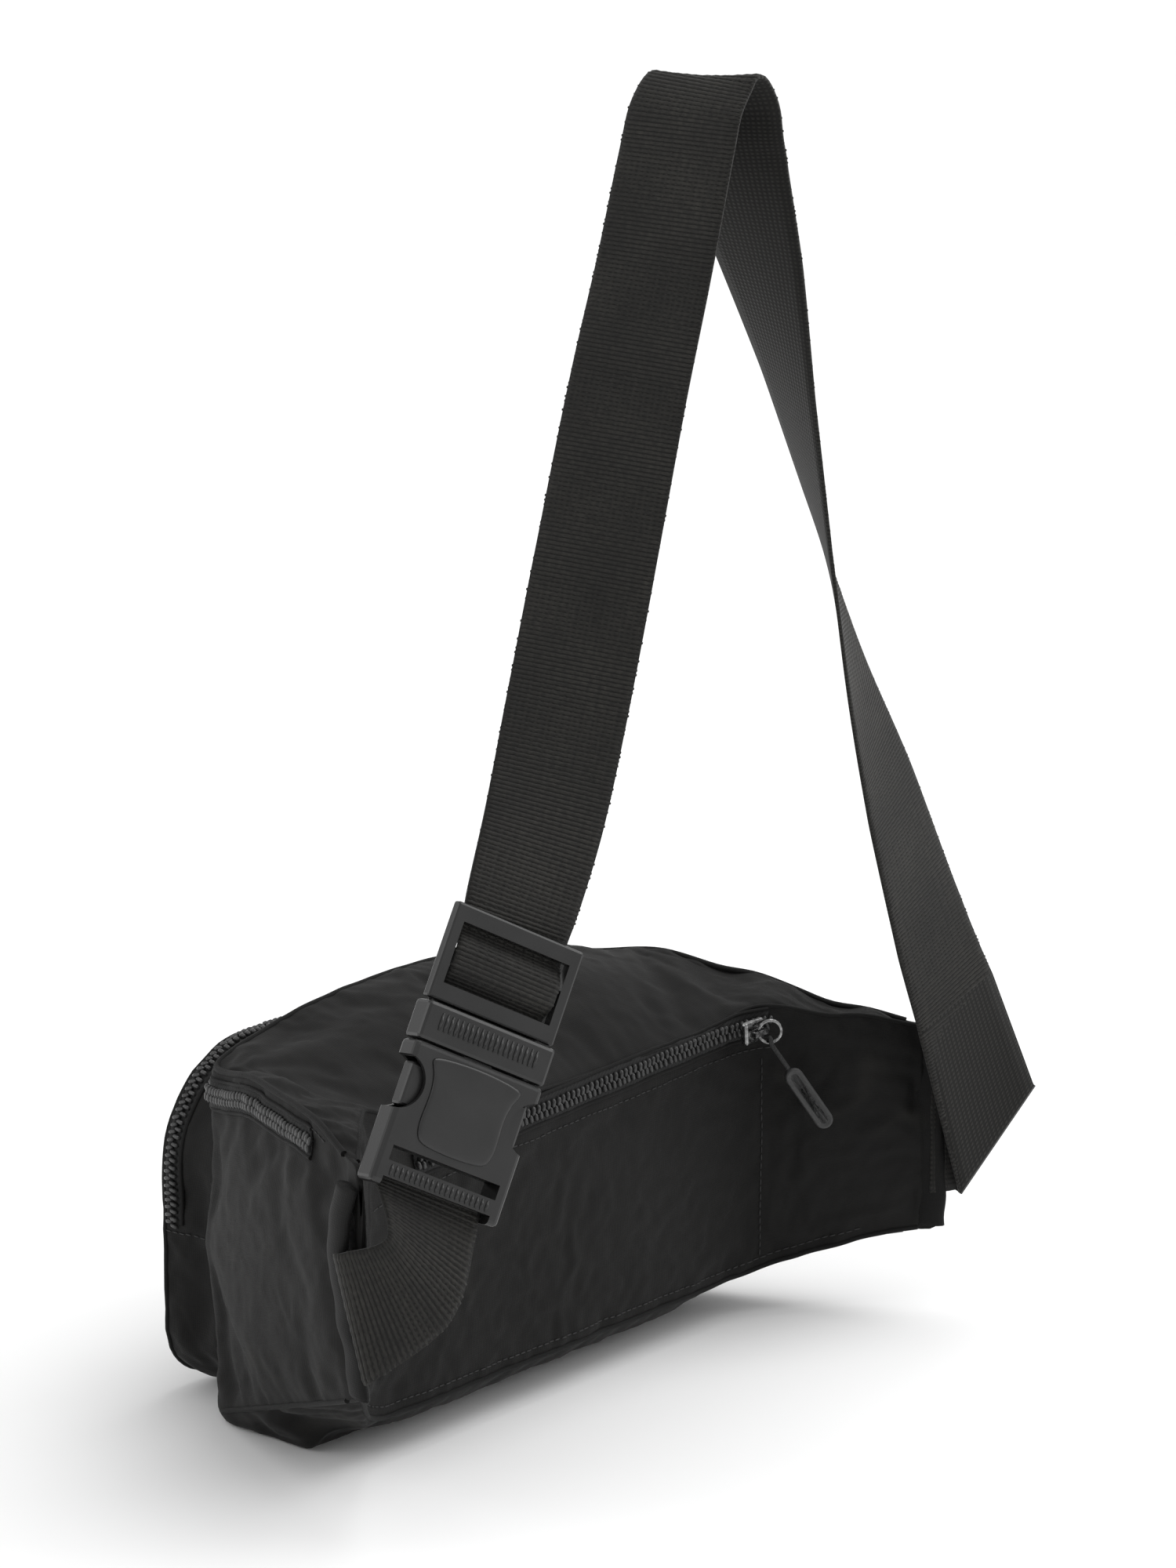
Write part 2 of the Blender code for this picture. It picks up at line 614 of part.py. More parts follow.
def pull(prefix, frame, lean, hang, face, metal):
    """Ring through the slider's eye, cord over the ring, rubber tab on the cord.

    lean tilts the ring along the zip, hang is the way the tab hangs and face
    the way its flat side looks.
    """
    eye = frame @ Vector((0, 0, SLIDER[2] + 1.25))
    across = frame.col[1].to_3d()
    if across.dot(hang) < 0:
        across = -across
    out = (frame.col[2].to_3d() * math.cos(lean) + frame.col[0].to_3d() * math.sin(lean)).normalized()
    centre = eye + out * RING_R
    ring_frame = Matrix((out, across, out.cross(across))).transposed().to_4x4()
    ring_frame.translation = centre
    torus(prefix + "_ring", RING_R, RING_WIRE, metal, ring_frame)
    reach = max(across, out, key=lambda way: way.dot(hang.normalized()))
    foot = centre + reach * RING_R
    bend = RING_WIRE + GAP + CORD_R
    side = out.cross(across).normalized()
    hang = hang.normalized()
    top = foot + hang * 11.0
    points = [top - side * 1.2]
    for angle in spans(0, 180, 8):
        turn = math.radians(angle)
        points.append(foot - side * bend * math.cos(turn) - reach * bend * math.sin(turn))
    points.append(top + side * 1.2)
    swept(prefix + "_cord", points, CORD_R, material("cord " + prefix, (0.02, 0.02, 0.02), 0.8))
    normal = (face - hang * face.dot(hang)).normalized()
    tab_frame = Matrix((hang.cross(normal), hang, normal)).transposed().to_4x4()
    tab_frame.translation = top
    width, length, thick = TAB
    low = (-width / 2, GAP + 0.6, -thick / 2)
    high = (width / 2, GAP + 0.6 + length, thick / 2)
    rubber = material("rubber " + prefix, (0.09, 0.09, 0.095), 0.6)
    made = box(prefix + "_tab", low, high, rubber, tab_frame)
    round_edges(made, 1.1, 3)


x = -92.0
point = Vector((x, back_y(x - 6), back_zip_z(x)))
along = Vector((BACK_ZIP_TO - x, 0, BACK_ZIP_NEAR_Z - point.z))
frame = slider("back_slider", point, Vector((0, 1, 0)), along, steel("back slider"))
pull("back", frame, math.radians(-50), Vector((-0.4, 0.42, -0.86)), Vector((0.63, 0.77, 0)), steel("back ring"))

far_out = Vector((-END_RUN.y, -END_RUN.x, 0)).normalized()
point = end_point(-1, 0.32, 1) - Vector((0, 0, MAIN_DROP))
along = end_point(-1, 0.18, 1) - end_point(-1, 0.46, 1)
frame = slider("main_slider", point, far_out, along, plastic("main slider"))
pull("main", frame, math.radians(20), Vector((0, 0, -1)) + far_out * 0.12, far_out, plastic("main ring"))

point = Vector((-POCKET_HALF, -60.2, POCKET_SEAM_Z + 6))
frame = slider("pocket_slider", point, Vector((-1, 0, 0)), Vector((0, 0, 1)), plastic("pocket slider"))
pull("pocket", frame, math.radians(-50), Vector((-0.3, -0.05, -0.95)), Vector((-1, 0, 0)), plastic("pocket ring"))
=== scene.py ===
import json
import math

import bmesh
import bpy
from mathutils import Matrix, Vector, noise
from mathutils.bvhtree import BVHTree

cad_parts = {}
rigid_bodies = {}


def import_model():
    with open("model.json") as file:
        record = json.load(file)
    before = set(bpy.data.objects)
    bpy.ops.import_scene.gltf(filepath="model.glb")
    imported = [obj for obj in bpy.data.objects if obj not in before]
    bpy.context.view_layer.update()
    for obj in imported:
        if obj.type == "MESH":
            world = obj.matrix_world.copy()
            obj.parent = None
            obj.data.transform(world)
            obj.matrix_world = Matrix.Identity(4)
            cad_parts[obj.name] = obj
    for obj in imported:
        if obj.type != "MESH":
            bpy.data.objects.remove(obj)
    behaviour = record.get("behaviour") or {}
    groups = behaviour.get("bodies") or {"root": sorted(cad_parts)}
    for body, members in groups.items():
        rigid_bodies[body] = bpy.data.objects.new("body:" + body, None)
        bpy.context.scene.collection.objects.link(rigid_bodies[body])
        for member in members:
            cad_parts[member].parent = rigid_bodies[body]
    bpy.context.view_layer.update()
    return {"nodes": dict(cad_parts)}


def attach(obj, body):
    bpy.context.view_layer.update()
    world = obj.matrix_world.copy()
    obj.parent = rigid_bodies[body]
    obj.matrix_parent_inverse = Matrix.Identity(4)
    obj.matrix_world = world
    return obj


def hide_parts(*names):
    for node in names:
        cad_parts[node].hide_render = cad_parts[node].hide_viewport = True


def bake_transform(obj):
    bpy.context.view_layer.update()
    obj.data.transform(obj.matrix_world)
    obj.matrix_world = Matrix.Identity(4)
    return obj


for unwanted in list(bpy.data.objects):
    bpy.data.objects.remove(unwanted)
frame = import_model()
scene = bpy.context.scene
scene.view_settings.view_transform = "Standard"
scene.view_settings.look = "None"
MM = 0.001


# Camera. A long lens stands a little above the pack and looks at its back
# and at the wing that carries the buckle.
LENS_MM = 108.0
STAND = Vector((1.1423, 1.0038, 0.5555))
AIM = Vector((-0.052, 0.0017, 0.1956))

camera = bpy.data.objects.new("camera", bpy.data.cameras.new("camera"))
scene.collection.objects.link(camera)
camera.data.sensor_width = 36.0
camera.data.lens = LENS_MM
camera.location = STAND
camera.rotation_euler = (STAND - AIM).to_track_quat("Z", "Y").to_euler()
scene.camera = camera


# Main pouch. One washed nylon skin with its lining runs over the front, the
# two wings, the padded back, the top and the base. It is sewn along its
# edges, stuffed lightly, and crumples between the seams.
FRONT_Y = -35.0
BACK_Y = 35.0
CORNER_X = 95.0
ROOT_X = 98.0
TIP_X = 149.0
TIP_Y = 80.0
WING_SLOPE = 0.88
NEAR_TIP_LOW = 50.0
FAR_TIP_LOW = 30.0
RIM_MID = 136.0
RIM_CORNER = 122.0
BACK_TOP = 108.0
BACK_BOTTOM = 15.5
BASE_BACK_Y = 8.0
NEAR_END_TOP = [(0.0, 122), (0.35, 129), (0.7, 130), (1.0, 124)]
FAR_END_TOP = [(0.0, 122), (0.2, 124), (0.45, 118), (0.75, 108), (1.0, 103)]
NEAR_BACK_TOP = [(0, BACK_TOP), (70, 112), (105, 124), (125, 126), (TIP_X, 124)]
FAR_BACK_TOP = [(0, BACK_TOP), (75, BACK_TOP), (100, 114), (125, 109), (TIP_X, 103)]
NEAR_BACK_LOW = [(85, BACK_BOTTOM), (TIP_X, NEAR_TIP_LOW)]
FAR_BACK_LOW = [(85, BACK_BOTTOM), (TIP_X, FAR_TIP_LOW)]
END_LENGTH = math.hypot(TIP_X - CORNER_X, TIP_Y - FRONT_Y)
MAIN_ZIP_DROP = 8.5
BACK_ZIP = (-103.0, 47.0, 107.5, 100.0)  # far x, near x, far height, near height
ZIP_BAND = 5.0
CLOSED_TIP = 5.0  # under this width the two walls are sewn together


def lerp(a, b, t):
    return a + (b - a) * t


def knots(pairs, x):
    if x <= pairs[0][0]:
        return pairs[0][1]
    for (x0, v0), (x1, v1) in zip(pairs, pairs[1:]):
        if x <= x1:
            t = (x - x0) / (x1 - x0)
            return lerp(v0, v1, t * t * (3 - 2 * t))
    return pairs[-1][1]


def spans(first, last, steps):
    return [lerp(first, last, i / steps) for i in range(steps + 1)]


def end_point(side, t, edge):
    low = lerp(3, NEAR_TIP_LOW if side > 0 else FAR_TIP_LOW, t)
    high = knots(NEAR_END_TOP if side > 0 else FAR_END_TOP, t)
    x = side * lerp(CORNER_X, TIP_X, t)
    return Vector((x, lerp(FRONT_Y, TIP_Y, t), lerp(low, high, edge)))


def back_y(x):
    return BACK_Y + WING_SLOPE * 4.0 * math.log1p(math.exp((abs(x) - ROOT_X) / 4.0))


def back_point(x, edge):
    low = knots(NEAR_BACK_LOW if x > 0 else FAR_BACK_LOW, abs(x))
    high = knots(NEAR_BACK_TOP if x > 0 else FAR_BACK_TOP, abs(x))
    return Vector((x, back_y(x), lerp(low, high, edge)))


def rim_point(x):
    drop = (RIM_MID - RIM_CORNER) * (abs(x) / CORNER_X) ** 2.5
    return Vector((x, FRONT_Y, RIM_MID - drop))


def outline_pair(a, edge):
    side = 1 if a > 0 else -1
    if abs(a) <= 0.5:
        x = CORNER_X * a * 2
        front = rim_point(x) if edge else Vector((x, FRONT_Y, 3))
        return front, back_point(ROOT_X * a * 2, edge)
    t = abs(a) * 2 - 1
    return end_point(side, t, edge), back_point(side * lerp(ROOT_X, TIP_X, t), edge)


def back_zip_z(x):
    return lerp(BACK_ZIP[2], BACK_ZIP[3], (x - BACK_ZIP[0]) / (BACK_ZIP[1] - BACK_ZIP[0]))


def show(name, mesh):
    piece = bpy.data.objects.new(name, mesh)
    scene.collection.objects.link(piece)
    return piece


def skin(name, rows, closed=False):
    """A fabric surface through rows of points in millimetres, with its UV map in metres."""
    wide = len(rows[0])
    faces = []
    for i in range(len(rows) - 1):
        for j in range(wide if closed else wide - 1):
            a = i * wide + j
            b = i * wide + (j + 1) % wide
            faces.append((a, a + wide, b + wide, b))
    mesh = bpy.data.meshes.new(name)
    mesh.from_pydata([p * MM for row in rows for p in row], [], faces)
    along = [0.0]
    middle = wide // 4
    for low, high in zip(rows, rows[1:]):
        along.append(along[-1] + (high[middle] - low[middle]).length * MM)
    across = [0.0]
    row = rows[len(rows) // 2]
    for j in range(wide):
        across.append(across[-1] + (row[(j + 1) % wide] - row[j]).length * MM)
    layer = mesh.uv_layers.new(name="cloth")
    for polygon in mesh.polygons:
        for loop in polygon.loop_indices:
            i, j = divmod(mesh.loops[loop].vertex_index, wide)
            last = closed and j == 0 and polygon.index % wide == wide - 1
            layer.data[loop].uv = (along[i], across[wide] if last else across[j])
    mesh.shade_smooth()
    return show(name, mesh)


def bowed(start, end, steps, bulge, out):
    return [start.lerp(end, k / steps) + out * (bulge * math.sin(math.pi * k / steps))
            for k in range(steps)]


POUCH_STEPS = 140
WALL_STEPS = 34
TOP_STEPS = 22
BACK_STEPS = 28
BASE_STEPS = 20
pouch_rows = []
for a in spans(-1, 1, POUCH_STEPS):
    front_low, back_low = outline_pair(a, 0)
    front_high, back_high = outline_pair(a, 1)
    width = (back_high - front_high).length
    if width < CLOSED_TIP:
        apart = Vector((0, 2.5, 0))
        back_low, back_high = front_low + apart, front_high + apart
    side = 1 if a > 0 else -1
    t = max(0.0, abs(a) * 2 - 1)
    front_out = Vector((side * 0.905, -0.425, 0)) if t > 0 else Vector((0, -1, 0))
    back_out = Vector((-side * (0.66 if t > 0.06 else 0), 0.75 if t > 0.06 else 1, 0))
    row = bowed(front_low, front_high, WALL_STEPS, 1.5, front_out)
    row += bowed(front_high, back_high, TOP_STEPS, 5.0 * (1 - abs(a)), Vector((0, 0, 1)))
    row += bowed(back_high, back_low, BACK_STEPS, 1.2, back_out)
    base = bowed(back_low, front_low, BASE_STEPS, 0, Vector((0, 0, 1)))
    for p in base:
        lift = max(0.4, lerp(0.4, BACK_BOTTOM, (p.y - BASE_BACK_Y) / (BACK_Y - BASE_BACK_Y)))
        p.z = lift if t == 0 else lerp(lift, p.z, min(1.0, t * 4))
    row += base
    pouch_rows.append(row)
pouch = skin("pouch_cloth", pouch_rows, closed=True)

closing = bmesh.new()
closing.from_mesh(pouch.data)
around = len(pouch_rows[0])
last_row = (len(pouch_rows) - 1) * around
for first, away in ((0, Vector((-1, 0.5, 0))), (last_row, Vector((1, 0.5, 0)))):
    closing.verts.ensure_lookup_table()
    loop_of_tip = [closing.verts[first + j] for j in range(around)]
    cap = closing.faces.new(loop_of_tip)
    cap.normal_update()
    if cap.normal.dot(away) < 0:
        cap.normal_flip()
    bmesh.ops.poke(closing, faces=[cap])
closing.to_mesh(pouch.data)
closing.free()
pouch.data.shade_smooth()


def welded(piece, gap, capped=False):
    """Joins points closer than gap, closes open ends if asked, and turns every face outward."""
    shape = bmesh.new()
    shape.from_mesh(piece.data)
    bmesh.ops.remove_doubles(shape, verts=shape.verts, dist=gap)
    if capped:
        bmesh.ops.holes_fill(shape, edges=[e for e in shape.edges if e.is_boundary], sides=0)
    bmesh.ops.recalc_face_normals(shape, faces=shape.faces)
    shape.to_mesh(piece.data)
    shape.free()


def crumple(piece, held, grow, pressure, most, floor=0.0004):
    """Lets the cloth grow a little between its held points, so it puffs and creases."""
    start = [v.co.copy() for v in piece.data.vertices]
    group = piece.vertex_groups.new(name="sewn")
    for index, strength in held.items():
        group.add([index], strength, "REPLACE")
    cloth = piece.modifiers.new("washed nylon", "CLOTH")
    settings = cloth.settings
    settings.vertex_group_mass = "sewn"
    settings.quality = 6
    settings.mass = 0.15
    settings.tension_stiffness = 20
    settings.compression_stiffness = 12
    settings.shear_stiffness = 4
    settings.bending_stiffness = 0.08
    settings.use_pressure = True
    settings.uniform_pressure_force = pressure
    settings.shrink_min = -grow
    settings.effector_weights.gravity = 0
    cloth.collision_settings.use_collision = False
    for number in range(1, 25):
        scene.frame_set(number)
    graph = bpy.context.evaluated_depsgraph_get()
    moved = [v.co.copy() for v in piece.evaluated_get(graph).data.vertices]
    piece.modifiers.remove(cloth)
    piece.vertex_groups.remove(group)
    scene.frame_set(1)
    for vertex, old, new in zip(piece.data.vertices, start, moved):
        step = new - old
        far = step.length
        vertex.co = old + step * (most * math.tanh(far / most) / far if far > 1e-9 else 1)
        vertex.co.z = max(vertex.co.z, floor)


def wrinkle(piece, levels, height, size):
    """Subdivides the cloth and raises fine creases along its normals."""
    soft = piece.modifiers.new("soften", "SUBSURF")
    soft.levels = levels
    soft.render_levels = levels
    graph = bpy.context.evaluated_depsgraph_get()
    mesh = bpy.data.meshes.new_from_object(piece.evaluated_get(graph))
    piece.modifiers.clear()
    piece.data = mesh
    normals = [v.normal.copy() for v in mesh.vertices]
    for vertex, normal in zip(mesh.vertices, normals):
        p = vertex.co / size
        folds = 0.0
        for octave, weight in ((1, 0.6), (2.3, 0.3), (4.9, 0.15)):
            twist = noise.noise_vector(p * octave * 0.6) * 0.8
            folds += weight * (1 - 2.4 * abs(noise.noise(p * octave + twist)))
        fade = min(1.0, vertex.co.z / 0.006)
        vertex.co += normal * height * (folds - 0.5) * fade
    mesh.shade_smooth()


held = {}
near_tip = len(pouch_rows) - 4
edges = [0, WALL_STEPS, WALL_STEPS + TOP_STEPS, WALL_STEPS + TOP_STEPS + BACK_STEPS]
for i, row in enumerate(pouch_rows):
    a = -1 + 2 * i / POUCH_STEPS
    for j, p in enumerate(row):
        strength = 0.0
        if j in edges or i < 3 or i > near_tip:
            strength = 1.0
        elif j < WALL_STEPS:
            corner = abs(abs(a) - 0.5) < 0.01
            drop = row[WALL_STEPS].z - p.z
            zip_here = abs(drop - MAIN_ZIP_DROP) < ZIP_BAND and -0.86 < a < 0.9
            strength = 1.0 if corner or zip_here else 0.0
        elif edges[2] < j < edges[3]:
            by_the_zip = BACK_ZIP[0] - 3 < p.x < BACK_ZIP[1] + 3
            zip_here = by_the_zip and abs(p.z - back_zip_z(p.x)) < ZIP_BAND
            stitched = by_the_zip and abs(p.z - back_zip_z(p.x) + 9) < 2.2
            fold = abs(p.x + ROOT_X + 3) < 2.0
            strength = 1.0 if zip_here or fold or stitched else 0.25
        elif j > edges[3] and p.z < 2.0:
            strength = 0.6
        if strength:
            held[i * around + j] = strength
crumple(pouch, held, 0.035, 1.2, 5 * MM)
wrinkle(pouch, 1, 0.6 * MM, 15 * MM)


def node(tree, kind, inputs=(), **settings):
    """Adds a node; an input is a value, or a socket to link from."""
    made = tree.nodes.new(kind)
    for key, value in settings.items():
        setattr(made, key, value)
    for key, value in dict(inputs).items():
        if isinstance(value, bpy.types.NodeSocket):
            tree.links.new(value, made.inputs[key])
        else:
            made.inputs[key].default_value = value
    return made


def finish_of(name):
    """An empty material with its tree, its surface node and its Object coordinates."""
    made = bpy.data.materials.new(name)
    made.use_nodes = True
    tree = made.node_tree
    surface = tree.nodes["Principled BSDF"]
    place = tree.nodes.new("ShaderNodeTexCoord")
    return made, tree, surface, place


def ramp(tree, value, stops, ease="LINEAR"):
    made = node(tree, "ShaderNodeValToRGB", {"Fac": value})
    made.color_ramp.interpolation = ease
    while len(made.color_ramp.elements) < len(stops):
        made.color_ramp.elements.new(0.5)
    for element, (at, colour) in zip(made.color_ramp.elements, stops):
        element.position = at
        element.color = (*colour, 1) if len(colour) == 3 else colour
    return made.outputs["Color"]


def grey(value):
    return (value, value, value)


def coloured(tree, surface, value, stops):
    tree.links.new(ramp(tree, value, stops), surface.inputs["Base Color"])


def raised(tree, surface, height, strength, distance):
    bump = node(tree, "ShaderNodeBump", {"Height": height, "Strength": strength, "Distance": distance})
    tree.links.new(bump.outputs[0], surface.inputs["Normal"])


def washed_nylon(name, dark, light):
    """Plain-weave nylon, rubbed pale along its creases, with a low sheen."""
    made, tree, surface, place = finish_of(name)
    spot = place.outputs["Object"]
    creases = node(tree, "ShaderNodeTexNoise",
                   {"Vector": spot, "Scale": 42.0, "Detail": 7.0, "Roughness": 0.62, "Distortion": 0.9},
                   noise_type="RIDGED_MULTIFRACTAL").outputs["Fac"]
    cloud = node(tree, "ShaderNodeTexNoise", {"Vector": spot, "Scale": 17.0, "Detail": 4.0}).outputs["Fac"]
    rubbed = ramp(tree, creases, [(0.30, grey(0.0)), (0.95, grey(1.0))], "EASE")
    tone = node(tree, "ShaderNodeMath", {0: rubbed, 1: cloud}, operation="MULTIPLY").outputs[0]
    colour = node(tree, "ShaderNodeMix", {"Factor": tone, "A": (*dark, 1), "B": (*light, 1)},
                  data_type="RGBA")
    tree.links.new(colour.outputs[2], surface.inputs["Base Color"])
    threads = []
    for turn in (0.0, math.pi / 2):
        laid = node(tree, "ShaderNodeMapping", {"Vector": place.outputs["UV"], "Rotation": (0, 0, turn)})
        yarn = node(tree, "ShaderNodeTexWave", {"Vector": laid.outputs[0], "Scale": 420.0,
                    "Distortion": 1.2, "Detail": 1.0, "Detail Scale": 0.8})
        threads.append(yarn.outputs["Fac"])
    weave = node(tree, "ShaderNodeMath", {0: threads[0], 1: threads[1]}, operation="MULTIPLY").outputs[0]
    slubs = node(tree, "ShaderNodeTexNoise", {"Vector": spot, "Scale": 900.0, "Detail": 2.0}).outputs["Fac"]
    fine = node(tree, "ShaderNodeMath", {0: slubs, 1: weave}, operation="ADD").outputs[0]
    bump = node(tree, "ShaderNodeBump", {"Height": creases, "Strength": 0.35, "Distance": 0.0012})
    bump = node(tree, "ShaderNodeBump", {"Height": fine, "Strength": 0.35, "Distance": 0.0002,
                "Normal": bump.outputs[0]})
    tree.links.new(bump.outputs[0], surface.inputs["Normal"])
    rough = node(tree, "ShaderNodeMapRange", {"Value": cloud, "To Min": 0.58, "To Max": 0.85})
    tree.links.new(rough.outputs[0], surface.inputs["Roughness"])
    surface.inputs["Sheen Weight"].default_value = 0.03
    surface.inputs["Sheen Roughness"].default_value = 0.45
    surface.inputs["Specular IOR Level"].default_value = 0.2
    return made


pouch_nylon = washed_nylon("washed nylon", (0.0042, 0.0040, 0.0037), (0.019, 0.018, 0.0155))
pouch.data.materials.clear()
pouch.data.materials.append(pouch_nylon)
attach(pouch, "bag")
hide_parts("front_panel", "back_panel", "end_panel_near", "end_panel_far", "top_panel", "base_panel")


def cloth_surface(piece):
    mesh = piece.data
    return BVHTree.FromPolygons([v.co for v in mesh.vertices], [p.vertices for p in mesh.polygons])


pouch_surface = cloth_surface(pouch)


def laid_on(surface, point, lift):
    """The nearest point of the cloth to a point in millimetres, raised by lift, and its normal."""
    spot, normal, _, _ = surface.find_nearest(point * MM)
    return spot + normal * lift * MM, normal


# Seams. The skin's edges are sewn over a thin filler cord, and the two wing
# tips are closed with a folded strip that is stitched flat.
WELT_R = 1.1


def tube(name, points, radius, finish):
    """A round tube through points in metres, with closed ends."""
    curve = bpy.data.curves.new(name, "CURVE")
    curve.dimensions = "3D"
    curve.bevel_depth = radius * MM
    curve.bevel_resolution = 2
    curve.use_fill_caps = True
    line = curve.splines.new("POLY")
    line.points.add(len(points) - 1)
    for at, point in zip(line.points, points):
        at.co = (*point, 1)
    line.use_smooth = True
    temporary = show(name + "_line", curve)
    graph = bpy.context.evaluated_depsgraph_get()
    mesh = bpy.data.meshes.new_from_object(temporary.evaluated_get(graph))
    bpy.data.objects.remove(temporary)
    mesh.materials.clear()
    mesh.materials.append(finish)
    mesh.shade_smooth()
    return show(name, mesh)


def eased(points, rounds):
    """Softens a line of points so that it bends without corners."""
    for _ in range(rounds):
        inner = [(a + b * 2 + c) / 4 for a, b, c in zip(points, points[1:], points[2:])]
        points = [points[0]] + inner + [points[-1]]
    return points


seam_nylon = washed_nylon("seam nylon", (0.0036, 0.0035, 0.0033), (0.014, 0.0135, 0.012))
steps = spans(-0.955, 0.955, 150)
front_rim = [laid_on(pouch_surface, outline_pair(a, 1)[0], 0.1)[0] for a in steps]
back_low_edge = [laid_on(pouch_surface, outline_pair(a, 0)[1], 0.1)[0] for a in steps]
front_low_edge = [laid_on(pouch_surface, outline_pair(a, 0)[0], 0.0)[0] for a in steps]
back_top_edge = [laid_on(pouch_surface, outline_pair(a, 1)[1], 0.0)[0] for a in steps]
for name, line, radius in (("front_rim_welt", front_rim, WELT_R), ("back_low_welt", back_low_edge, 0.9),
                           ("front_low_welt", front_low_edge, 0.9), ("back_top_welt", back_top_edge, 0.7)):
    line = [Vector((p.x, p.y, max(p.z, (radius + 0.1) * MM))) for p in eased(line, 3)]
    welt = tube(name, line, radius, seam_nylon)
    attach(welt, "bag")

for side, name, low, high in ((1, "near", NEAR_TIP_LOW, 124.0), (-1, "far", FAR_TIP_LOW, 103.0)):
    rows = []
    inward = Vector((-side * (TIP_X - CORNER_X) / END_LENGTH, -(TIP_Y - FRONT_Y) / END_LENGTH, 0))
    across = Vector((inward.y, -inward.x, 0))
    tip = Vector((side * TIP_X, TIP_Y, 0))
    for z in spans(low + 0.5, high - 6.5 if side > 0 else high - 0.5, 46):
        wave = noise.noise(Vector((z * 0.09, side, 3.1))) * 1.4
        share = (z - low) / (high - low)
        curl = Vector((0.64, -0.77, 0)) * (9.0 * share * math.sin(math.pi * share) if side > 0 else 0.0)
        row = []
        for turn in range(16):
            angle = 2 * math.pi * turn / 16
            reach = inward * (4.8 - 6.4 * math.cos(angle)) + across * (2.4 * math.sin(angle) + wave * 0.5)
            row.append(tip + reach + curl + Vector((0, 0, z)) - inward * (2.0 + wave))
        rows.append(row)
    rows = [[sum(rows[0], Vector()) / 16] * 16] + rows + [[sum(rows[-1], Vector()) / 16] * 16]
    strip = skin("wing_strip_" + name, rows, closed=True)
    welded(strip, 0.00002)
    strip.data.materials.append(seam_nylon)
    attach(strip, "bag")
    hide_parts("wing_seam_" + name)


# Stitches. Thick bonded thread, one short raised stitch after another, sunk
# at both ends. The same tree also sets zip teeth and webbing ribs further on.
def repeat_tree(name, unit, finish, seed):
    tree = bpy.data.node_groups.new(name, "GeometryNodeTree")
    face = tree.interface
    face.new_socket("Geometry", in_out="INPUT", socket_type="NodeSocketGeometry")
    sizes = [face.new_socket(label, in_out="INPUT", socket_type="NodeSocketFloat").identifier
             for label in ("Length", "Width", "Height", "Unevenness")]
    face.new_socket("Geometry", in_out="OUTPUT", socket_type="NodeSocketGeometry")
    source = tree.nodes.new("NodeGroupInput").outputs
    along = node(tree, "GeometryNodeInputNamedAttribute", {"Name": "along"}, data_type="FLOAT_VECTOR")
    out = node(tree, "GeometryNodeInputNamedAttribute", {"Name": "out"}, data_type="FLOAT_VECTOR")
    turned = node(tree, "FunctionNodeAlignRotationToVector", {"Vector": along.outputs[0]}, axis="X")
    turned = node(tree, "FunctionNodeAlignRotationToVector",
                  {"Rotation": turned.outputs[0], "Vector": out.outputs[0]}, axis="Z", pivot_axis="X")
    uneven = node(tree, "FunctionNodeRandomValue", {"Seed": seed}, data_type="FLOAT")
    spread = node(tree, "ShaderNodeMapRange", {"Value": uneven.outputs[1], "To Min": -1.0, "To Max": 1.0})
    change = node(tree, "ShaderNodeMath", {0: spread.outputs[0], 1: source["Unevenness"], 2: 1.0},
                  operation="MULTIPLY_ADD")
    size = node(tree, "ShaderNodeCombineXYZ", {0: source["Length"], 1: source["Width"], 2: source["Height"]})
    size = node(tree, "ShaderNodeVectorMath", {0: size.outputs[0], "Scale": change.outputs[0]},
                operation="SCALE")
    share = node(tree, "GeometryNodeInputNamedAttribute", {"Name": "share"}, data_type="FLOAT_VECTOR")
    size = node(tree, "ShaderNodeVectorMath", {0: size.outputs[0], 1: share.outputs[0]}, operation="MULTIPLY")
    shape = node(tree, "GeometryNodeObjectInfo", {"Object": unit})
    placed = node(tree, "GeometryNodeInstanceOnPoints",
                  {"Points": source["Geometry"], "Instance": shape.outputs["Geometry"],
                   "Rotation": turned.outputs[0], "Scale": size.outputs[0]})
    real = node(tree, "GeometryNodeRealizeInstances", {"Geometry": placed.outputs[0]})
    dressed = node(tree, "GeometryNodeSetMaterial", {"Geometry": real.outputs[0], "Material": finish})
    node(tree, "NodeGroupOutput", {"Geometry": dressed.outputs[0]})
    return tree, sizes


def repeat(name, rail, unit, finish, size, uneven=0.04, seed=1):
    """Sets the unit piece at each (point, along, out) of the rail; size is in millimetres.

    A fourth entry, where there is one, is that piece's share of the size.
    """
    points = bpy.data.meshes.new(name + "_rail")
    points.from_pydata([stop[0] for stop in rail], [], [])
    rail = [stop if len(stop) == 4 else (*stop, (1, 1, 1)) for stop in rail]
    for label, part in (("along", 1), ("out", 2), ("share", 3)):
        layer = points.attributes.new(label, "FLOAT_VECTOR", "POINT")
        layer.data.foreach_set("vector", [c for stop in rail for c in stop[part]])
    holder = show(name + "_rail", points)
    tree, sockets = repeat_tree(name + " set", unit, finish, seed)
    setting = holder.modifiers.new("set", "NODES")
    setting.node_group = tree
    for socket, value in zip(sockets, [s * MM for s in size] + [uneven]):
        setting[socket] = value
    graph = bpy.context.evaluated_depsgraph_get()
    mesh = bpy.data.meshes.new_from_object(holder.evaluated_get(graph))
    bpy.data.objects.remove(holder)
    mesh.shade_smooth()
    return show(name, mesh)


def unit_piece(name, build):
    shape = bmesh.new()
    build(shape)
    mesh = bpy.data.meshes.new(name)
    shape.to_mesh(mesh)
    shape.free()
    made = bpy.data.objects.new(name, mesh)
    return made


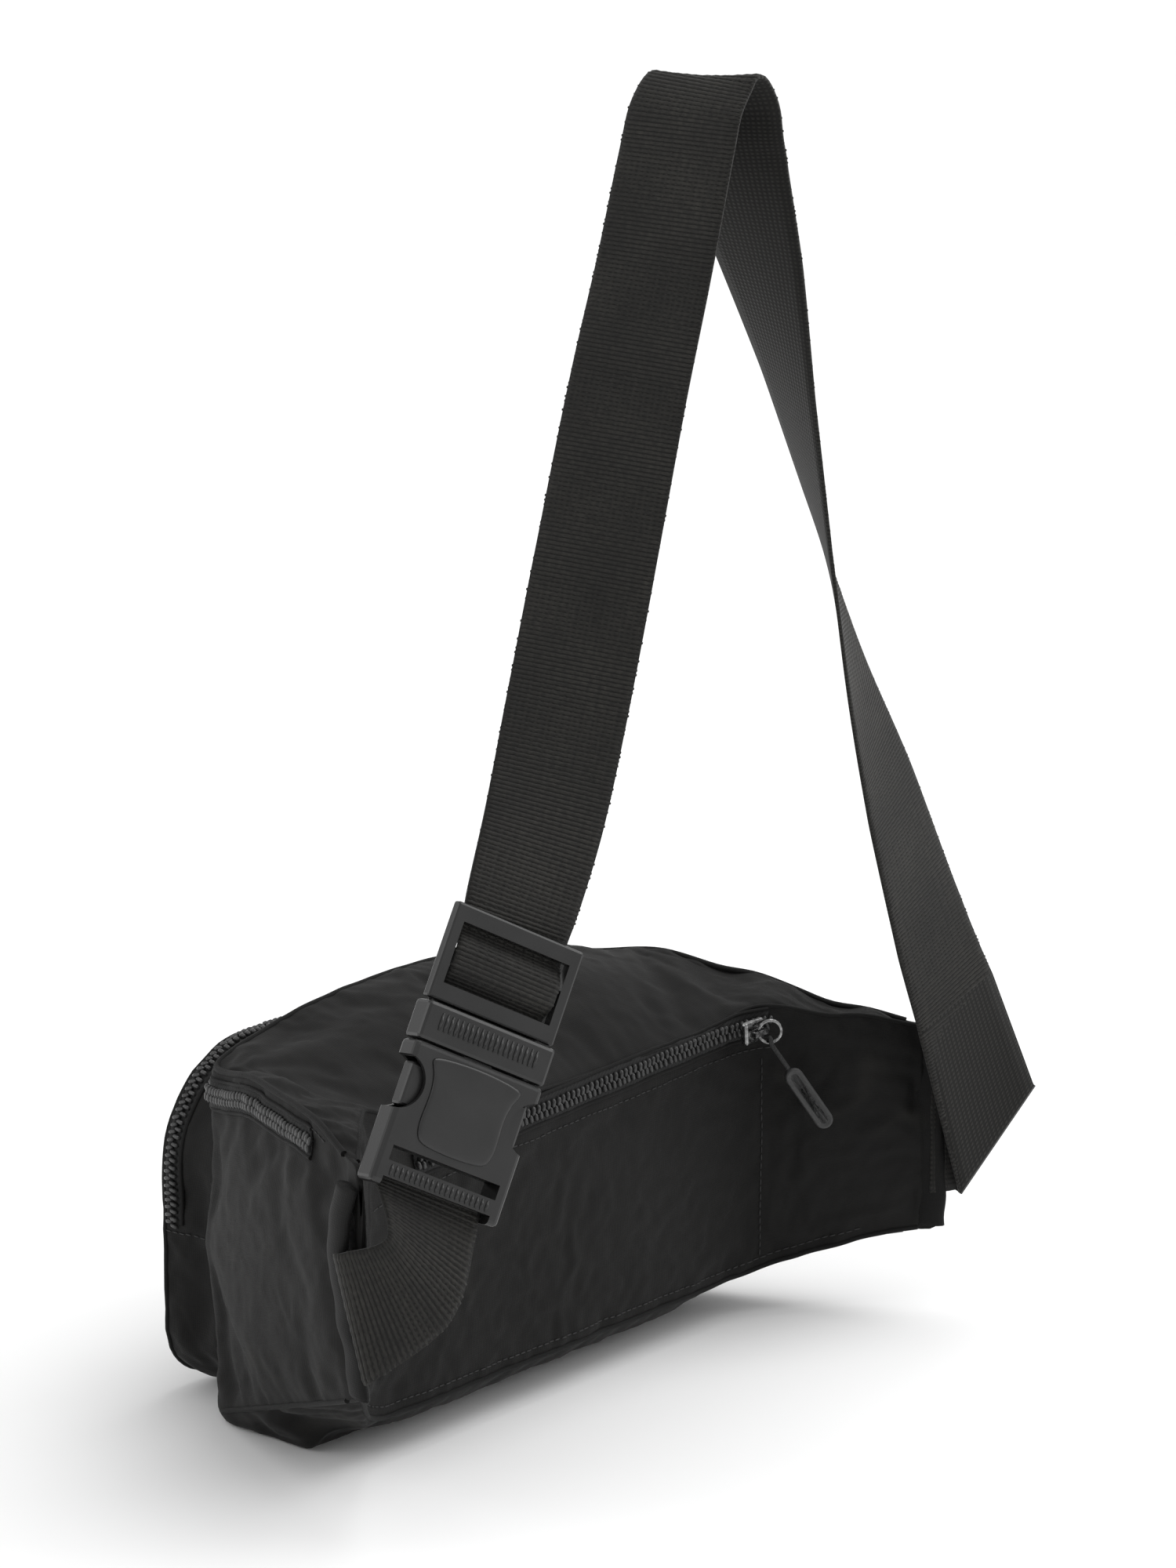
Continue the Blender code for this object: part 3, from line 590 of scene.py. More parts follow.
def evenly(points, pitch):
    """Points along a line of points, one each pitch, with the line's direction."""
    result = []
    left = 0.0
    for a, b in zip(points, points[1:]):
        length = (b - a).length
        while left < length:
            result.append((a.lerp(b, left / length), (b - a).normalized()))
            left += pitch
        left -= length
    return result


def stitch_shape(shape):
    bmesh.ops.create_uvsphere(shape, u_segments=6, v_segments=5, radius=0.5)
    bmesh.ops.rotate(shape, verts=shape.verts, matrix=Matrix.Rotation(math.pi / 2, 3, "Y"))


stitch = unit_piece("stitch", stitch_shape)
thread, tree, surface, place = finish_of("bonded thread")
fibres = node(tree, "ShaderNodeTexNoise", {"Vector": place.outputs["Object"], "Scale": 1400.0}).outputs["Fac"]
coloured(tree, surface, fibres, [(0.3, grey(0.004)), (0.8, grey(0.014))])
surface.inputs["Roughness"].default_value = 0.6


def stitched(name, surface_of, line, lift=0.15, pitch=2.9):
    rail = []
    for at, along in evenly([p * MM for p in line], pitch * MM):
        spot, normal = laid_on(surface_of, at / MM, lift)
        rail.append((spot, along, normal))
    return repeat(name, rail, stitch, thread, (2.5, 0.55, 0.5))


FOLD_X = -ROOT_X - 3
under_rim = [outline_pair(a, 1)[0] - Vector((0, 0, 3.4)) for a in spans(-0.9, 0.9, 120)]
over_base = [back_point(x, 0) + Vector((0, 0, 4.0)) for x in spans(-128, 132, 120)]
under_zip = [Vector((x, back_y(x), back_zip_z(x) - 9.0)) for x in spans(BACK_ZIP[0], 100, 90)]
down_fold = [Vector((FOLD_X, back_y(FOLD_X), z)) for z in spans(24, 96, 20)]
for number, line in enumerate((under_rim, over_base, under_zip, down_fold)):
    sewn = stitched("pouch_stitches_%d" % number, pouch_surface, line)
    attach(sewn, "bag")


# Front pocket. A flat bag of the same nylon, sewn to the front: a face, a
# zipped gusset over its top and sides, and a plain gusset under it.
POCKET_HALF = 88.0
POCKET_TOP = 118.0
POCKET_BOTTOM = 4.0
POCKET_TOP_R = 40.0
POCKET_BOTTOM_R = 20.0
POCKET_SEAM_Z = 58.0


def pocket_outline(count):
    """Points (x, z) evenly round the pocket, from the near side's seam over the top."""
    path = [Vector((POCKET_HALF, 0, POCKET_SEAM_Z))]
    corners = [(1, 1, POCKET_TOP_R, 0), (-1, 1, POCKET_TOP_R, 90),
               (-1, -1, POCKET_BOTTOM_R, 180), (1, -1, POCKET_BOTTOM_R, 270)]
    for side, up, radius, start in corners:
        cz = POCKET_TOP - radius if up > 0 else POCKET_BOTTOM + radius
        for angle in spans(start, start + 90, 16):
            turn = math.radians(angle)
            x = side * (POCKET_HALF - radius) + radius * math.cos(turn)
            path.append(Vector((x, 0, cz + radius * math.sin(turn))))
    path.append(path[0])
    length = sum((b - a).length for a, b in zip(path, path[1:]))
    return [p for p, _ in evenly(path, length / count * 1.000001)][:count]


round_the_pocket = pocket_outline(150)
centre = Vector((0, 0, 60.0))
pocket_rows = []
for y, shrink in ((-35.3, 0.985), (-36.5, 1.0), (-40, 0.995), (-44, 0.99), (-48, 0.987), (-52, 0.99),
                  (-55, 0.995), (-58.5, 1.0), (-62, 1.0), (-64.6, 0.997), (-66, 0.985)):
    pocket_rows.append([centre + (p - centre) * shrink + Vector((0, y, 0)) for p in round_the_pocket])
for share in (0.95, 0.9, 0.84, 0.78, 0.71, 0.64, 0.56, 0.48, 0.4, 0.32, 0.24, 0.16, 0.08, 0.004):
    crown = -66.3 - 1.2 * math.sin((1 - share) * math.pi / 2)
    pocket_rows.append([centre + (p - centre) * share + Vector((0, crown, 0)) for p in round_the_pocket])
pocket = skin("pocket_cloth", pocket_rows, closed=True)
welded(pocket, 0.0009, capped=True)
held = {}
for v in pocket.data.vertices:
    y, z = v.co.y / MM, v.co.z / MM
    at_wall = y > -37.5
    at_welt = -66.1 < y < -64
    at_zip = -63 < y < -57 and z > POCKET_SEAM_Z
    if at_wall or at_welt or at_zip:
        held[v.index] = 1.0
crumple(pocket, held, 0.04, 1.5, 4.5 * MM, 0.002)
wrinkle(pocket, 2, 0.45 * MM, 15 * MM)
pocket.data.materials.clear()
pocket.data.materials.append(washed_nylon("pocket nylon", (0.0042, 0.0040, 0.0037), (0.018, 0.017, 0.015)))
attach(pocket, "bag")
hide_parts("pocket_face", "pocket_gusset_upper", "pocket_gusset_lower")
pocket_surface = cloth_surface(pocket)

ring = [p + Vector((0, -65.6, 0)) for p in round_the_pocket]
ring = [laid_on(pocket_surface, p, 0.1)[0] for p in ring + ring[:2]]
welt = tube("pocket_face_welt", ring, 1.0, seam_nylon)
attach(welt, "bag")
across_seam = [Vector((x, -67, POCKET_SEAM_Z)) for x in spans(-POCKET_HALF + 1, POCKET_HALF - 1, 60)]
inset_ring = [centre + (p - centre) * 0.955 + Vector((0, -66.4, 0)) for p in round_the_pocket]
side_seams = [[Vector((s * POCKET_HALF, y, POCKET_SEAM_Z)) for y in spans(-40, -64, 12)] for s in (1, -1)]
for number, line in enumerate([inset_ring + inset_ring[:1], across_seam] + side_seams):
    sewn = stitched("pocket_stitches_%d" % number, pocket_surface, line)
    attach(sewn, "bag")


# Zips. Black nylon coil sewn to woven tape. Each tape lies between two folded
# lips of the cloth; the teeth of the two halves lean into each other.
TOOTH_PITCH = 2.5


def tooth_shape(shape):
    bmesh.ops.create_cube(shape, size=1.0)
    bmesh.ops.bevel(shape, geom=shape.edges[:], offset=0.26, segments=1, affect="EDGES")


tooth = unit_piece("zip tooth", tooth_shape)
coil_nylon, tree, surface, place = finish_of("coil nylon")
worn = node(tree, "ShaderNodeTexNoise", {"Vector": place.outputs["Object"], "Scale": 300.0}).outputs["Fac"]
coloured(tree, surface, worn, [(0.3, grey(0.016)), (0.75, grey(0.04))])
surface.inputs["Roughness"].default_value = 0.3
tape_weave, tree, surface, place = finish_of("zip tape weave")
twill = node(tree, "ShaderNodeTexWave", {"Vector": place.outputs["UV"], "Scale": 330.0, "Distortion": 0.4},
             bands_direction="DIAGONAL").outputs["Fac"]
coloured(tree, surface, twill, [(0.2, grey(0.0025)), (0.8, grey(0.007))])
raised(tree, surface, twill, 0.5, 0.0002)
surface.inputs["Roughness"].default_value = 0.85


def zip_along(prefix, line, cloth, tape_half):
    """Tape, teeth and stitched lips along a line of (point in millimetres, direction across)."""
    tape_rows, lip_high, lip_low, teeth = [], [], [], []
    centres = []
    for point, across in line:
        row = []
        for share in (-1, -0.55, 0, 0.55, 1):
            row.append(laid_on(cloth, point + across * tape_half * share, 0.45)[0] / MM)
        tape_rows.append(row)
        lip_high.append(laid_on(cloth, point + across * (tape_half + 0.2), 0.35)[0])
        lip_low.append(laid_on(cloth, point - across * (tape_half + 0.2), 0.35)[0])
        centres.append(point * MM)
    tape = skin(prefix + "_tape", tape_rows)
    body = tape.modifiers.new("body", "SOLIDIFY")
    body.thickness = 0.6 * MM
    body.offset = 0.0
    graph = bpy.context.evaluated_depsgraph_get()
    mesh = bpy.data.meshes.new_from_object(tape.evaluated_get(graph))
    tape.modifiers.clear()
    tape.data = mesh
    mesh.materials.clear()
    mesh.materials.append(tape_weave)
    for half, side in (("a", 1), ("b", -1)):
        rail = []
        for number, (at, along) in enumerate(evenly(centres, TOOTH_PITCH * MM)):
            spot, normal = laid_on(cloth, at / MM, 0.0)
            over = normal.cross(along).normalized()
            at = spot + normal * 1.5 * MM + over * side * 1.2 * MM + along * side * TOOTH_PITCH / 4 * MM
            lean = (along + over * side * 0.22).normalized()
            rail.append((at, lean, normal))
        row = repeat(prefix + "_teeth_" + half, rail, tooth, coil_nylon, (1.35, 3.0, 1.9), 0.03, 5)
        teeth.append(row)
    lips = [tube(prefix + "_lip_high", eased(lip_high, 2), 0.75, seam_nylon),
            tube(prefix + "_lip_low", eased(lip_low, 2), 0.75, seam_nylon)]
    for piece, slot in [(tape, "zip_tape")] + [(t, "zip_coil") for t in teeth] + [(p, "nylon") for p in lips]:
        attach(piece, "bag")
    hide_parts(prefix + "_tape")
    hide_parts(prefix + "_coil")


up = Vector((0, 0, 1))
back_line = [(Vector((x, back_y(x), back_zip_z(x))), up) for x in spans(BACK_ZIP[0], BACK_ZIP[1] + 28, 110)]
zip_along("back_zip", back_line, pouch_surface, 4.6)
main_line = []
for a in spans(0.86, -0.8, 200):
    point = outline_pair(a, 1)[0] - Vector((0, 0, MAIN_ZIP_DROP))
    main_line.append((point, up))
zip_along("main_zip", main_line, pouch_surface, 4.6)
pocket_line = []
for p in round_the_pocket[1:]:
    if p.z > POCKET_SEAM_Z + 1.5:
        pocket_line.append((p + Vector((0, -60.2, 0)), Vector((0, -1, 0))))
zip_along("pocket_zip", pocket_line, pocket_surface, 3.6)


# Belt. Black polypropylene webbing, 38 mm wide, threaded through the slide
# and sewn to the far wing after one slanted fold. Its outer face is ribbed
# across; its inner face is smooth.
WEB_WIDTH = 38.0
WEB = 1.6
RIB_PITCH = 1.42
BUCKLE_ACROSS = Vector((-0.81, 0.37, -0.455)).normalized()
BUCKLE_OUT = Vector((0.33, 0.93, 0.18))
BUCKLE_OUT = (BUCKLE_OUT - BUCKLE_ACROSS * BUCKLE_OUT.dot(BUCKLE_ACROSS)).normalized()
BUCKLE_UP = BUCKLE_OUT.cross(BUCKLE_ACROSS)
BUCKLE = Matrix((BUCKLE_ACROSS, BUCKLE_UP, BUCKLE_OUT)).transposed().to_4x4()
BUCKLE.translation = Vector((111.5, 93.6, 151.2))
SLIDE_BACK = -2.95
SLIDE_OVER = 1.2
THREADING = [(6, -0.5), (10, -0.5), (14, SLIDE_BACK), (19.3, SLIDE_BACK)]
THREADING += [(25.6, SLIDE_OVER), (30.9, SLIDE_OVER), (38.2, SLIDE_BACK), (45, SLIDE_BACK)]


def on_buckle(y, z):
    return (BUCKLE @ Vector((0, y, z)), BUCKLE_ACROSS)


def catmull(p0, p1, p2, p3, t):
    return 0.5 * ((2 * p1) + (p2 - p0) * t + (2 * p0 - 5 * p1 + 4 * p2 - p3) * t * t
                  + (3 * p1 - p0 - 3 * p2 + p3) * t ** 3)


def band_rows(stops, steps):
    rows = []
    last = len(stops) - 1
    for i in range(last):
        picks = [stops[max(0, i - 1)], stops[i], stops[i + 1], stops[min(last, i + 2)]]
        count = steps if i < last - 1 else steps + 1
        for k in range(count):
            t = k / steps
            centre = catmull(*[p for p, _ in picks], t)
            ahead = catmull(*[p for p, _ in picks], t + 0.02) - centre
            width = lerp(picks[1][1], picks[2][1], t)
            width = (width - ahead * (width.dot(ahead) / ahead.length_squared)).normalized()
            rows.append([centre - width * WEB_WIDTH / 2, centre + width * WEB_WIDTH / 2])
    return rows


strap_rows = []
for y in spans(6, 45, 32)[:-1]:
    middle, across = on_buckle(y, knots(THREADING, y))
    strap_rows.append([middle - across * WEB_WIDTH / 2, middle + across * WEB_WIDTH / 2])
loop = [
    (Vector((74.0, 89.6, 219.0)), Vector((-0.77, 0.58, -0.26))),
    (Vector((59.5, 87.0, 253.0)), Vector((-0.65, 0.73, -0.2))),
    (Vector((44.0, 86.0, 299.5)), Vector((-0.49, 0.86, -0.15))),
    (Vector((29.0, 85.5, 346.5)), Vector((-0.39, 0.92, -0.12))),
    (Vector((15.5, 85.0, 384.0)), Vector((-0.31, 0.95, -0.09))),
    (Vector((4.5, 84.5, 417.0)), Vector((-0.27, 0.96, -0.05))),
    (Vector((-1.5, 84.2, 432.5)), Vector((-0.26, 0.97, 0.0))),
    (Vector((-11.5, 83.8, 440.5)), Vector((-0.25, 0.97, 0.0))),
    (Vector((-20.5, 83.4, 431.5)), Vector((-0.24, 0.97, 0.02))),
    (Vector((-25.5, 83.0, 415.0)), Vector((-0.19, 0.98, 0.08))),
    (Vector((-39.5, 83.0, 381.5)), Vector((0.1, 0.99, -0.03))),
    (Vector((-55.0, 83.5, 339.5)), Vector((0.43, 0.89, -0.15))),
    (Vector((-74.0, 84.0, 286.0)), Vector((0.67, 0.71, -0.23))),
    (Vector((-92.0, 85.0, 236.0)), Vector((0.82, 0.49, -0.3))),
    (Vector((-110.0, 86.5, 194.0)), Vector((0.91, 0.23, -0.35))),
    (Vector((-130.0, 89.5, 144.0)), Vector((0.91, 0.0, -0.38))),
    (Vector((-142.5, 92.0, 115.0)), Vector((0.88, -0.15, -0.42))),
]
strap_rows += band_rows([on_buckle(45, SLIDE_BACK)] + loop, 6)
FOLD_R = 1.6
fold_high = Vector((-176.0, 100.2, 81.0))
fold_low = Vector((-154.8, 84.3, 43.0))
seam_high = Vector((-151.6, 83.2, 81.0))
seam_low = Vector((-151.6, 83.2, 43.0))
upward = (loop[-1][0] - (fold_high + fold_low) / 2).normalized()
slant = (fold_high - fold_low).normalized()
fold_out = slant.cross(upward).normalized()
fold_out = -fold_out if fold_out.y < 0 else fold_out
fold_side = fold_out.cross(slant)
fold_side = -fold_side if fold_side.dot(upward) > 0 else fold_side
straight_rows = list(strap_rows)
last_left, last_right = strap_rows[-1]
shift = fold_out * 2 * FOLD_R
low_first = (last_left - fold_low - shift).length <= (last_left - fold_high - shift).length
ends = (fold_low, fold_high) if low_first else (fold_high, fold_low)
for t in (0.2, 0.4, 0.6, 0.8):
    strap_rows.append([last_left.lerp(ends[0] + shift, t), last_right.lerp(ends[1] + shift, t)])
for angle in spans(0, math.pi, 8):
    turn = fold_out * FOLD_R * (1 + math.cos(angle)) + fold_side * FOLD_R * math.sin(angle)
    strap_rows.append([end + turn for end in ends])
seams = (seam_low, seam_high) if low_first else (seam_high, seam_low)
for t in (0.5, 1.0):
    strap_rows.append([end.lerp(seam, t) for end, seam in zip(ends, seams)])
strap_rows.append([seam + Vector((5.5, -3.4, 0)) for seam in seams])


def along_band(rows, pitch):
    """Rows (left, right) at an even pitch in millimetres along the band's middle, smoothly bent."""
    lengths = [0.0]
    for (a, b), (c, d) in zip(rows, rows[1:]):
        lengths.append(lengths[-1] + max(0.05, ((c + d) / 2 - (a + b) / 2).length))
    count = int(lengths[-1] / pitch)
    result, k = [], 0
    for n in range(count + 1):
        at = lengths[-1] * n / count
        while k < len(rows) - 2 and lengths[k + 1] < at:
            k += 1
        t = (at - lengths[k]) / (lengths[k + 1] - lengths[k])
        picks = [rows[max(0, k - 1)], rows[k], rows[k + 1], rows[min(len(rows) - 1, k + 2)]]
        result.append([catmull(*[r[edge] for r in picks], t) for edge in (0, 1)])
    return result


def rib_shape(shape):
    """One cross rib: a thin bar, pinched between its warp threads."""
    columns = 22
    rings = []
    for i in range(columns + 1):
        y = -0.5 + i / columns
        fat = 1.0 if i % 2 else 0.72
        fat *= 0.55 if i in (0, columns) else 1.0
        rings.append([shape.verts.new((0.5 * fat * math.cos(w), y, 0.5 * fat * math.sin(w)))
                      for w in (0.0, 1.05, 2.09, math.pi, 4.2, 5.23)])
    for a, b in zip(rings, rings[1:]):
        for k in range(6):
            shape.faces.new((a[k], b[k], b[(k + 1) % 6], a[(k + 1) % 6]))
    shape.faces.new(rings[0])
    shape.faces.new(list(reversed(rings[-1])))
    bmesh.ops.recalc_face_normals(shape, faces=shape.faces)


rib = unit_piece("webbing rib", rib_shape)
web_weave, tree, surface, place = finish_of("ribbed webbing")
spot = place.outputs["Object"]
flecks = node(tree, "ShaderNodeTexNoise", {"Vector": spot, "Scale": 700.0, "Detail": 3.0}).outputs["Fac"]
cloud = node(tree, "ShaderNodeTexNoise", {"Vector": spot, "Scale": 30.0, "Detail": 3.0}).outputs["Fac"]
both = node(tree, "ShaderNodeMath", {0: flecks, 1: cloud}, operation="MULTIPLY").outputs[0]
coloured(tree, surface, both, [(0.12, (0.0045, 0.0042, 0.0036)), (0.42, (0.021, 0.0198, 0.0168))])
raised(tree, surface, flecks, 0.4, 0.0002)
surface.inputs["Roughness"].default_value = 0.62
surface.inputs["Sheen Weight"].default_value = 0.05
surface.inputs["Sheen Roughness"].default_value = 0.5
surface.inputs["Specular IOR Level"].default_value = 0.25

web_plain, tree, surface, place = finish_of("webbing core")
warp = node(tree, "ShaderNodeTexWave", {"Vector": place.outputs["UV"], "Scale": 170.0, "Distortion": 0.6,
            "Detail": 1.0}, bands_direction="Y").outputs["Fac"]
weft = node(tree, "ShaderNodeTexWave", {"Vector": place.outputs["UV"], "Scale": 230.0, "Distortion": 0.6,
            "Detail": 1.0}, bands_direction="X").outputs["Fac"]
woven = node(tree, "ShaderNodeMath", {0: warp, 1: weft}, operation="MULTIPLY").outputs[0]
coloured(tree, surface, woven, [(0.1, (0.0045, 0.0042, 0.0036)), (0.8, (0.016, 0.0152, 0.013))])
raised(tree, surface, woven, 0.7, 0.0003)
surface.inputs["Roughness"].default_value = 0.7
surface.inputs["Sheen Weight"].default_value = 0.05
surface.inputs["Sheen Roughness"].default_value = 0.5
surface.inputs["Specular IOR Level"].default_value = 0.25


def webbing(name, rows, body, ribbed_rows=None, more_ribs=()):
    """The band's core as one closed strip, and the ribs laid over its outer face."""
    fine = along_band(rows, 2.0)
    sheet = [[left.lerp(right, k / 8) for k in range(9)] for left, right in fine]
    core = skin(name + "_core", sheet)
    thick = core.modifiers.new("thickness", "SOLIDIFY")
    thick.thickness = (WEB - 0.5) * MM
    thick.offset = 0.0
    graph = bpy.context.evaluated_depsgraph_get()
    mesh = bpy.data.meshes.new_from_object(core.evaluated_get(graph))
    core.modifiers.clear()
    core.data = mesh
    mesh.materials.clear()
    mesh.materials.append(web_plain)
    rail = []
    fine = along_band(ribbed_rows or rows, RIB_PITCH)
    for here, ahead in zip(fine, fine[1:]):
        middle = (here[0] + here[1]) / 2
        across = here[1] - here[0]
        wide = across.length
        across.normalize()
        along = (ahead[0] + ahead[1]) / 2 - middle
        along = (along - across * along.dot(across)).normalized()
        out = along.cross(across)
        rail.append(((middle - out * 0.35) * MM, along, -out, (1, wide / WEB_WIDTH, 1)))
    rail += list(more_ribs)
    ribs = repeat(name + "_ribs", rail, rib, web_weave, (RIB_PITCH * 1.12, WEB_WIDTH, 1.05), 0.02, 3)
    for piece in (core, ribs):
        if body:
            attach(piece, body)
    return core, ribs


# The stub leaves the wing on a slant, so its sewn end is longer than its width.
on_bar, bar_across = on_buckle(-43, -0.5)
off_bar, _ = on_buckle(-38, -0.5)
bar_across = bar_across * WEB_WIDTH / 2
stub_left = [Vector((156.0, 76.5, 98.0)), Vector((158.5, 82.0, 100.0)), Vector((150.5, 93.0, 105.5))]
stub_right = [Vector((149.0, 81.5, 56.0)), Vector((151.0, 88.5, 59.5)), Vector((131.0, 101.5, 76.5))]
for middle in (on_bar, off_bar):
    stub_left.append(middle - bar_across)
    stub_right.append(middle + bar_across)
stub_rows = []
for i in range(len(stub_left) - 1):
    picks = [max(0, i - 1), i, i + 1, min(len(stub_left) - 1, i + 2)]
    for t in (0, 0.2, 0.4, 0.6, 0.8):
        stub_rows.append([catmull(*[edge[k] for k in picks], t) for edge in (stub_left, stub_right)])
stub_rows.append([stub_left[-1], stub_right[-1]])
core, ribs = webbing("stub", stub_rows, "bag")
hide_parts("stub")
core, ribs = webbing("return", band_rows([on_buckle(y, -5.4) for y in (30, 22, 14, 7.5)], 4), "plug")
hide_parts("strap_return")
# Ribs of the slanted last stretch: square to the leg, cut off at the fold.
long_edge, short_edge = (last_left, last_right) if low_first else (last_right, last_left)
run = fold_low + shift - long_edge
short_run = (fold_high + shift - short_edge).length
leg = run.normalized()
level = (short_edge - long_edge).normalized()
level = (level - leg * level.dot(leg)).normalized()
leg_out = leg.cross(level) * (-1 if low_first else 1)
last_ribs = []
for at in spans(RIB_PITCH, run.length - 3, int(run.length / RIB_PITCH)):
    wide = WEB_WIDTH * min(1.0, (run.length - at) / (run.length - short_run))
    spot = long_edge + leg * at + level * wide / 2 + leg_out * 0.35
    last_ribs.append((spot * MM, leg, leg_out, (1, wide / WEB_WIDTH, 1)))
core, ribs = webbing("belt", strap_rows, None, straight_rows, last_ribs)
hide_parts("strap")
for piece in (core, ribs):
    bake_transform(piece)


# Buckle and slide. Moulded black acetal with a satin skin, faint moulding
# grain and slightly rubbed edges.
moulded, tree, surface, place = finish_of("moulded acetal")
spot = place.outputs["Object"]
grain = node(tree, "ShaderNodeTexNoise", {"Vector": spot, "Scale": 1500.0, "Detail": 2.0}).outputs["Fac"]
smudge = node(tree, "ShaderNodeTexNoise", {"Vector": spot, "Scale": 60.0, "Detail": 4.0}).outputs["Fac"]
coloured(tree, surface, smudge, [(0.3, grey(0.006)), (0.75, grey(0.011))])
rough = node(tree, "ShaderNodeMapRange", {"Value": smudge, "To Min": 0.27, "To Max": 0.40})
tree.links.new(rough.outputs[0], surface.inputs["Roughness"])
raised(tree, surface, grain, 0.25, 0.0001)
for part in ("buckle_socket", "buckle_plug", "arm_left", "arm_right", "slide"):
    frame["nodes"][part].data.materials.clear()
    frame["nodes"][part].data.materials.append(moulded)


# Sliders and pulls. The back slider and its ring are plated steel; the two
# others are black. Each ring holds a cord loop and a moulded rubber tab.
plated, tree, surface, place = finish_of("plated steel")
spot = place.outputs["Object"]
scratch = node(tree, "ShaderNodeTexNoise", {"Vector": spot, "Scale": 700.0, "Detail": 5.0}).outputs["Fac"]
coloured(tree, surface, scratch, [(0.35, grey(0.13)), (0.65, grey(0.36))])
rough = node(tree, "ShaderNodeMapRange", {"Value": scratch, "To Min": 0.14, "To Max": 0.34})
tree.links.new(rough.outputs[0], surface.inputs["Roughness"])
surface.inputs["Metallic"].default_value = 1.0
rubber, tree, surface, place = finish_of("tab rubber")
pores = node(tree, "ShaderNodeTexNoise", {"Vector": place.outputs["Object"], "Scale": 1200.0}).outputs["Fac"]
coloured(tree, surface, pores, [(0.3, grey(0.024)), (0.8, grey(0.040))])
raised(tree, surface, pores, 0.3, 0.0001)
surface.inputs["Roughness"].default_value = 0.55
braid, tree, surface, place = finish_of("pull braid")
spot = place.outputs["Object"]
twist = node(tree, "ShaderNodeTexVoronoi", {"Vector": spot, "Scale": 1300.0}).outputs["Distance"]
coloured(tree, surface, twist, [(0.1, grey(0.03)), (0.7, grey(0.008))])
raised(tree, surface, twist, 0.6, 0.0002)
surface.inputs["Roughness"].default_value = 0.8
for zipper, metal in (("back", plated), ("main", moulded), ("pocket", moulded)):
    for part, finish in (("slider", metal), ("ring", metal), ("cord", braid), ("tab", rubber)):
        piece = frame["nodes"][zipper + "_" + part]
        piece.data.materials.clear()
        piece.data.materials.append(finish)


# The pull tabs are round-ended, with a raised rim round a sunk panel.
TAB_LENGTH = 25.0
TAB_WIDTH = 6.5
TAB_PROFILE = [(1.6, -1.1), (0.5, -1.3), (0.1, -1.0), (0.0, -0.5), (0.0, 0.5), (0.1, 1.0),
               (0.5, 1.3), (0.9, 1.3), (1.1, 1.1), (1.9, 1.1)]  # inset from the edge, height


def stadium(half_width, half_length, steps=12):
    centre = half_length - half_width
    points = []
    for sign, start in ((1, 0), (-1, 180)):
        for angle in spans(start, start + 180, steps):
            turn = math.radians(angle)
            points.append((half_width * math.cos(turn), sign * centre + half_width * math.sin(turn)))
    return points


# A tab's length and thickness run along its plain block's own longest and
# thinnest directions, found by repeated multiplication with its spread.
SETTLE = 30
for zipper in ("back", "main", "pocket"):
    corners = [v.co / MM for v in frame["nodes"][zipper + "_tab"].data.vertices]
    middle = sum(corners, Vector()) / len(corners)
    hoop = [v.co / MM for v in frame["nodes"][zipper + "_ring"].data.vertices]
    long_way = middle - sum(hoop, Vector()) / len(hoop)
    spread = Matrix(((0, 0, 0), (0, 0, 0), (0, 0, 0)))
    for corner in corners:
        d = corner - middle
        spread += Matrix([[d[r] * d[c] for c in range(3)] for r in range(3)])
    for _ in range(SETTLE):
        long_way = (spread @ long_way).normalized()
    thin_way = Vector((0.3, 0.7, 0.2))
    inverse = spread.inverted()
    for _ in range(SETTLE):
        thin_way = (inverse @ thin_way).normalized()
    cross_way = long_way.cross(thin_way)
    rows = []
    for inset, height in TAB_PROFILE:
        ring = stadium(TAB_WIDTH / 2 - inset, TAB_LENGTH / 2 - inset)
        rows.append([middle + cross_way * x + long_way * y + thin_way * height for x, y in ring])
    for row, index in ((rows[0], 0), (rows[-1], len(rows))):
        rows.insert(index, [middle + thin_way * (row[0] - middle).dot(thin_way)] * len(row))
    tab = skin(zipper + "_pull_tab", rows, closed=True)
    welded(tab, 0.00003)
    tab.data.materials.append(rubber)
    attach(tab, zipper + "_zip_pull")
    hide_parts(zipper + "_tab")


# Moulded grips. Fine ribs stand on the plug's bar and on the socket's lower
# bar, and a raised plate covers the middle of the socket.
def grip_shape(shape):
    bmesh.ops.create_cube(shape, size=1.0)
    bmesh.ops.bevel(shape, geom=shape.edges[:], offset=0.16, segments=2, affect="EDGES")


grip = unit_piece("grip rib", grip_shape)


def on_face(x, y, z):
    return BUCKLE @ Vector((x, y, z)) * MM


def grips(name, y, height, z, body):
    rail = [(on_face(x, y, z), BUCKLE_ACROSS, BUCKLE_OUT) for x in spans(-17.5, 17.5, 19)]
    made = repeat(name, rail, grip, moulded, (0.95, height, 0.9), 0.0)
    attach(made, body)


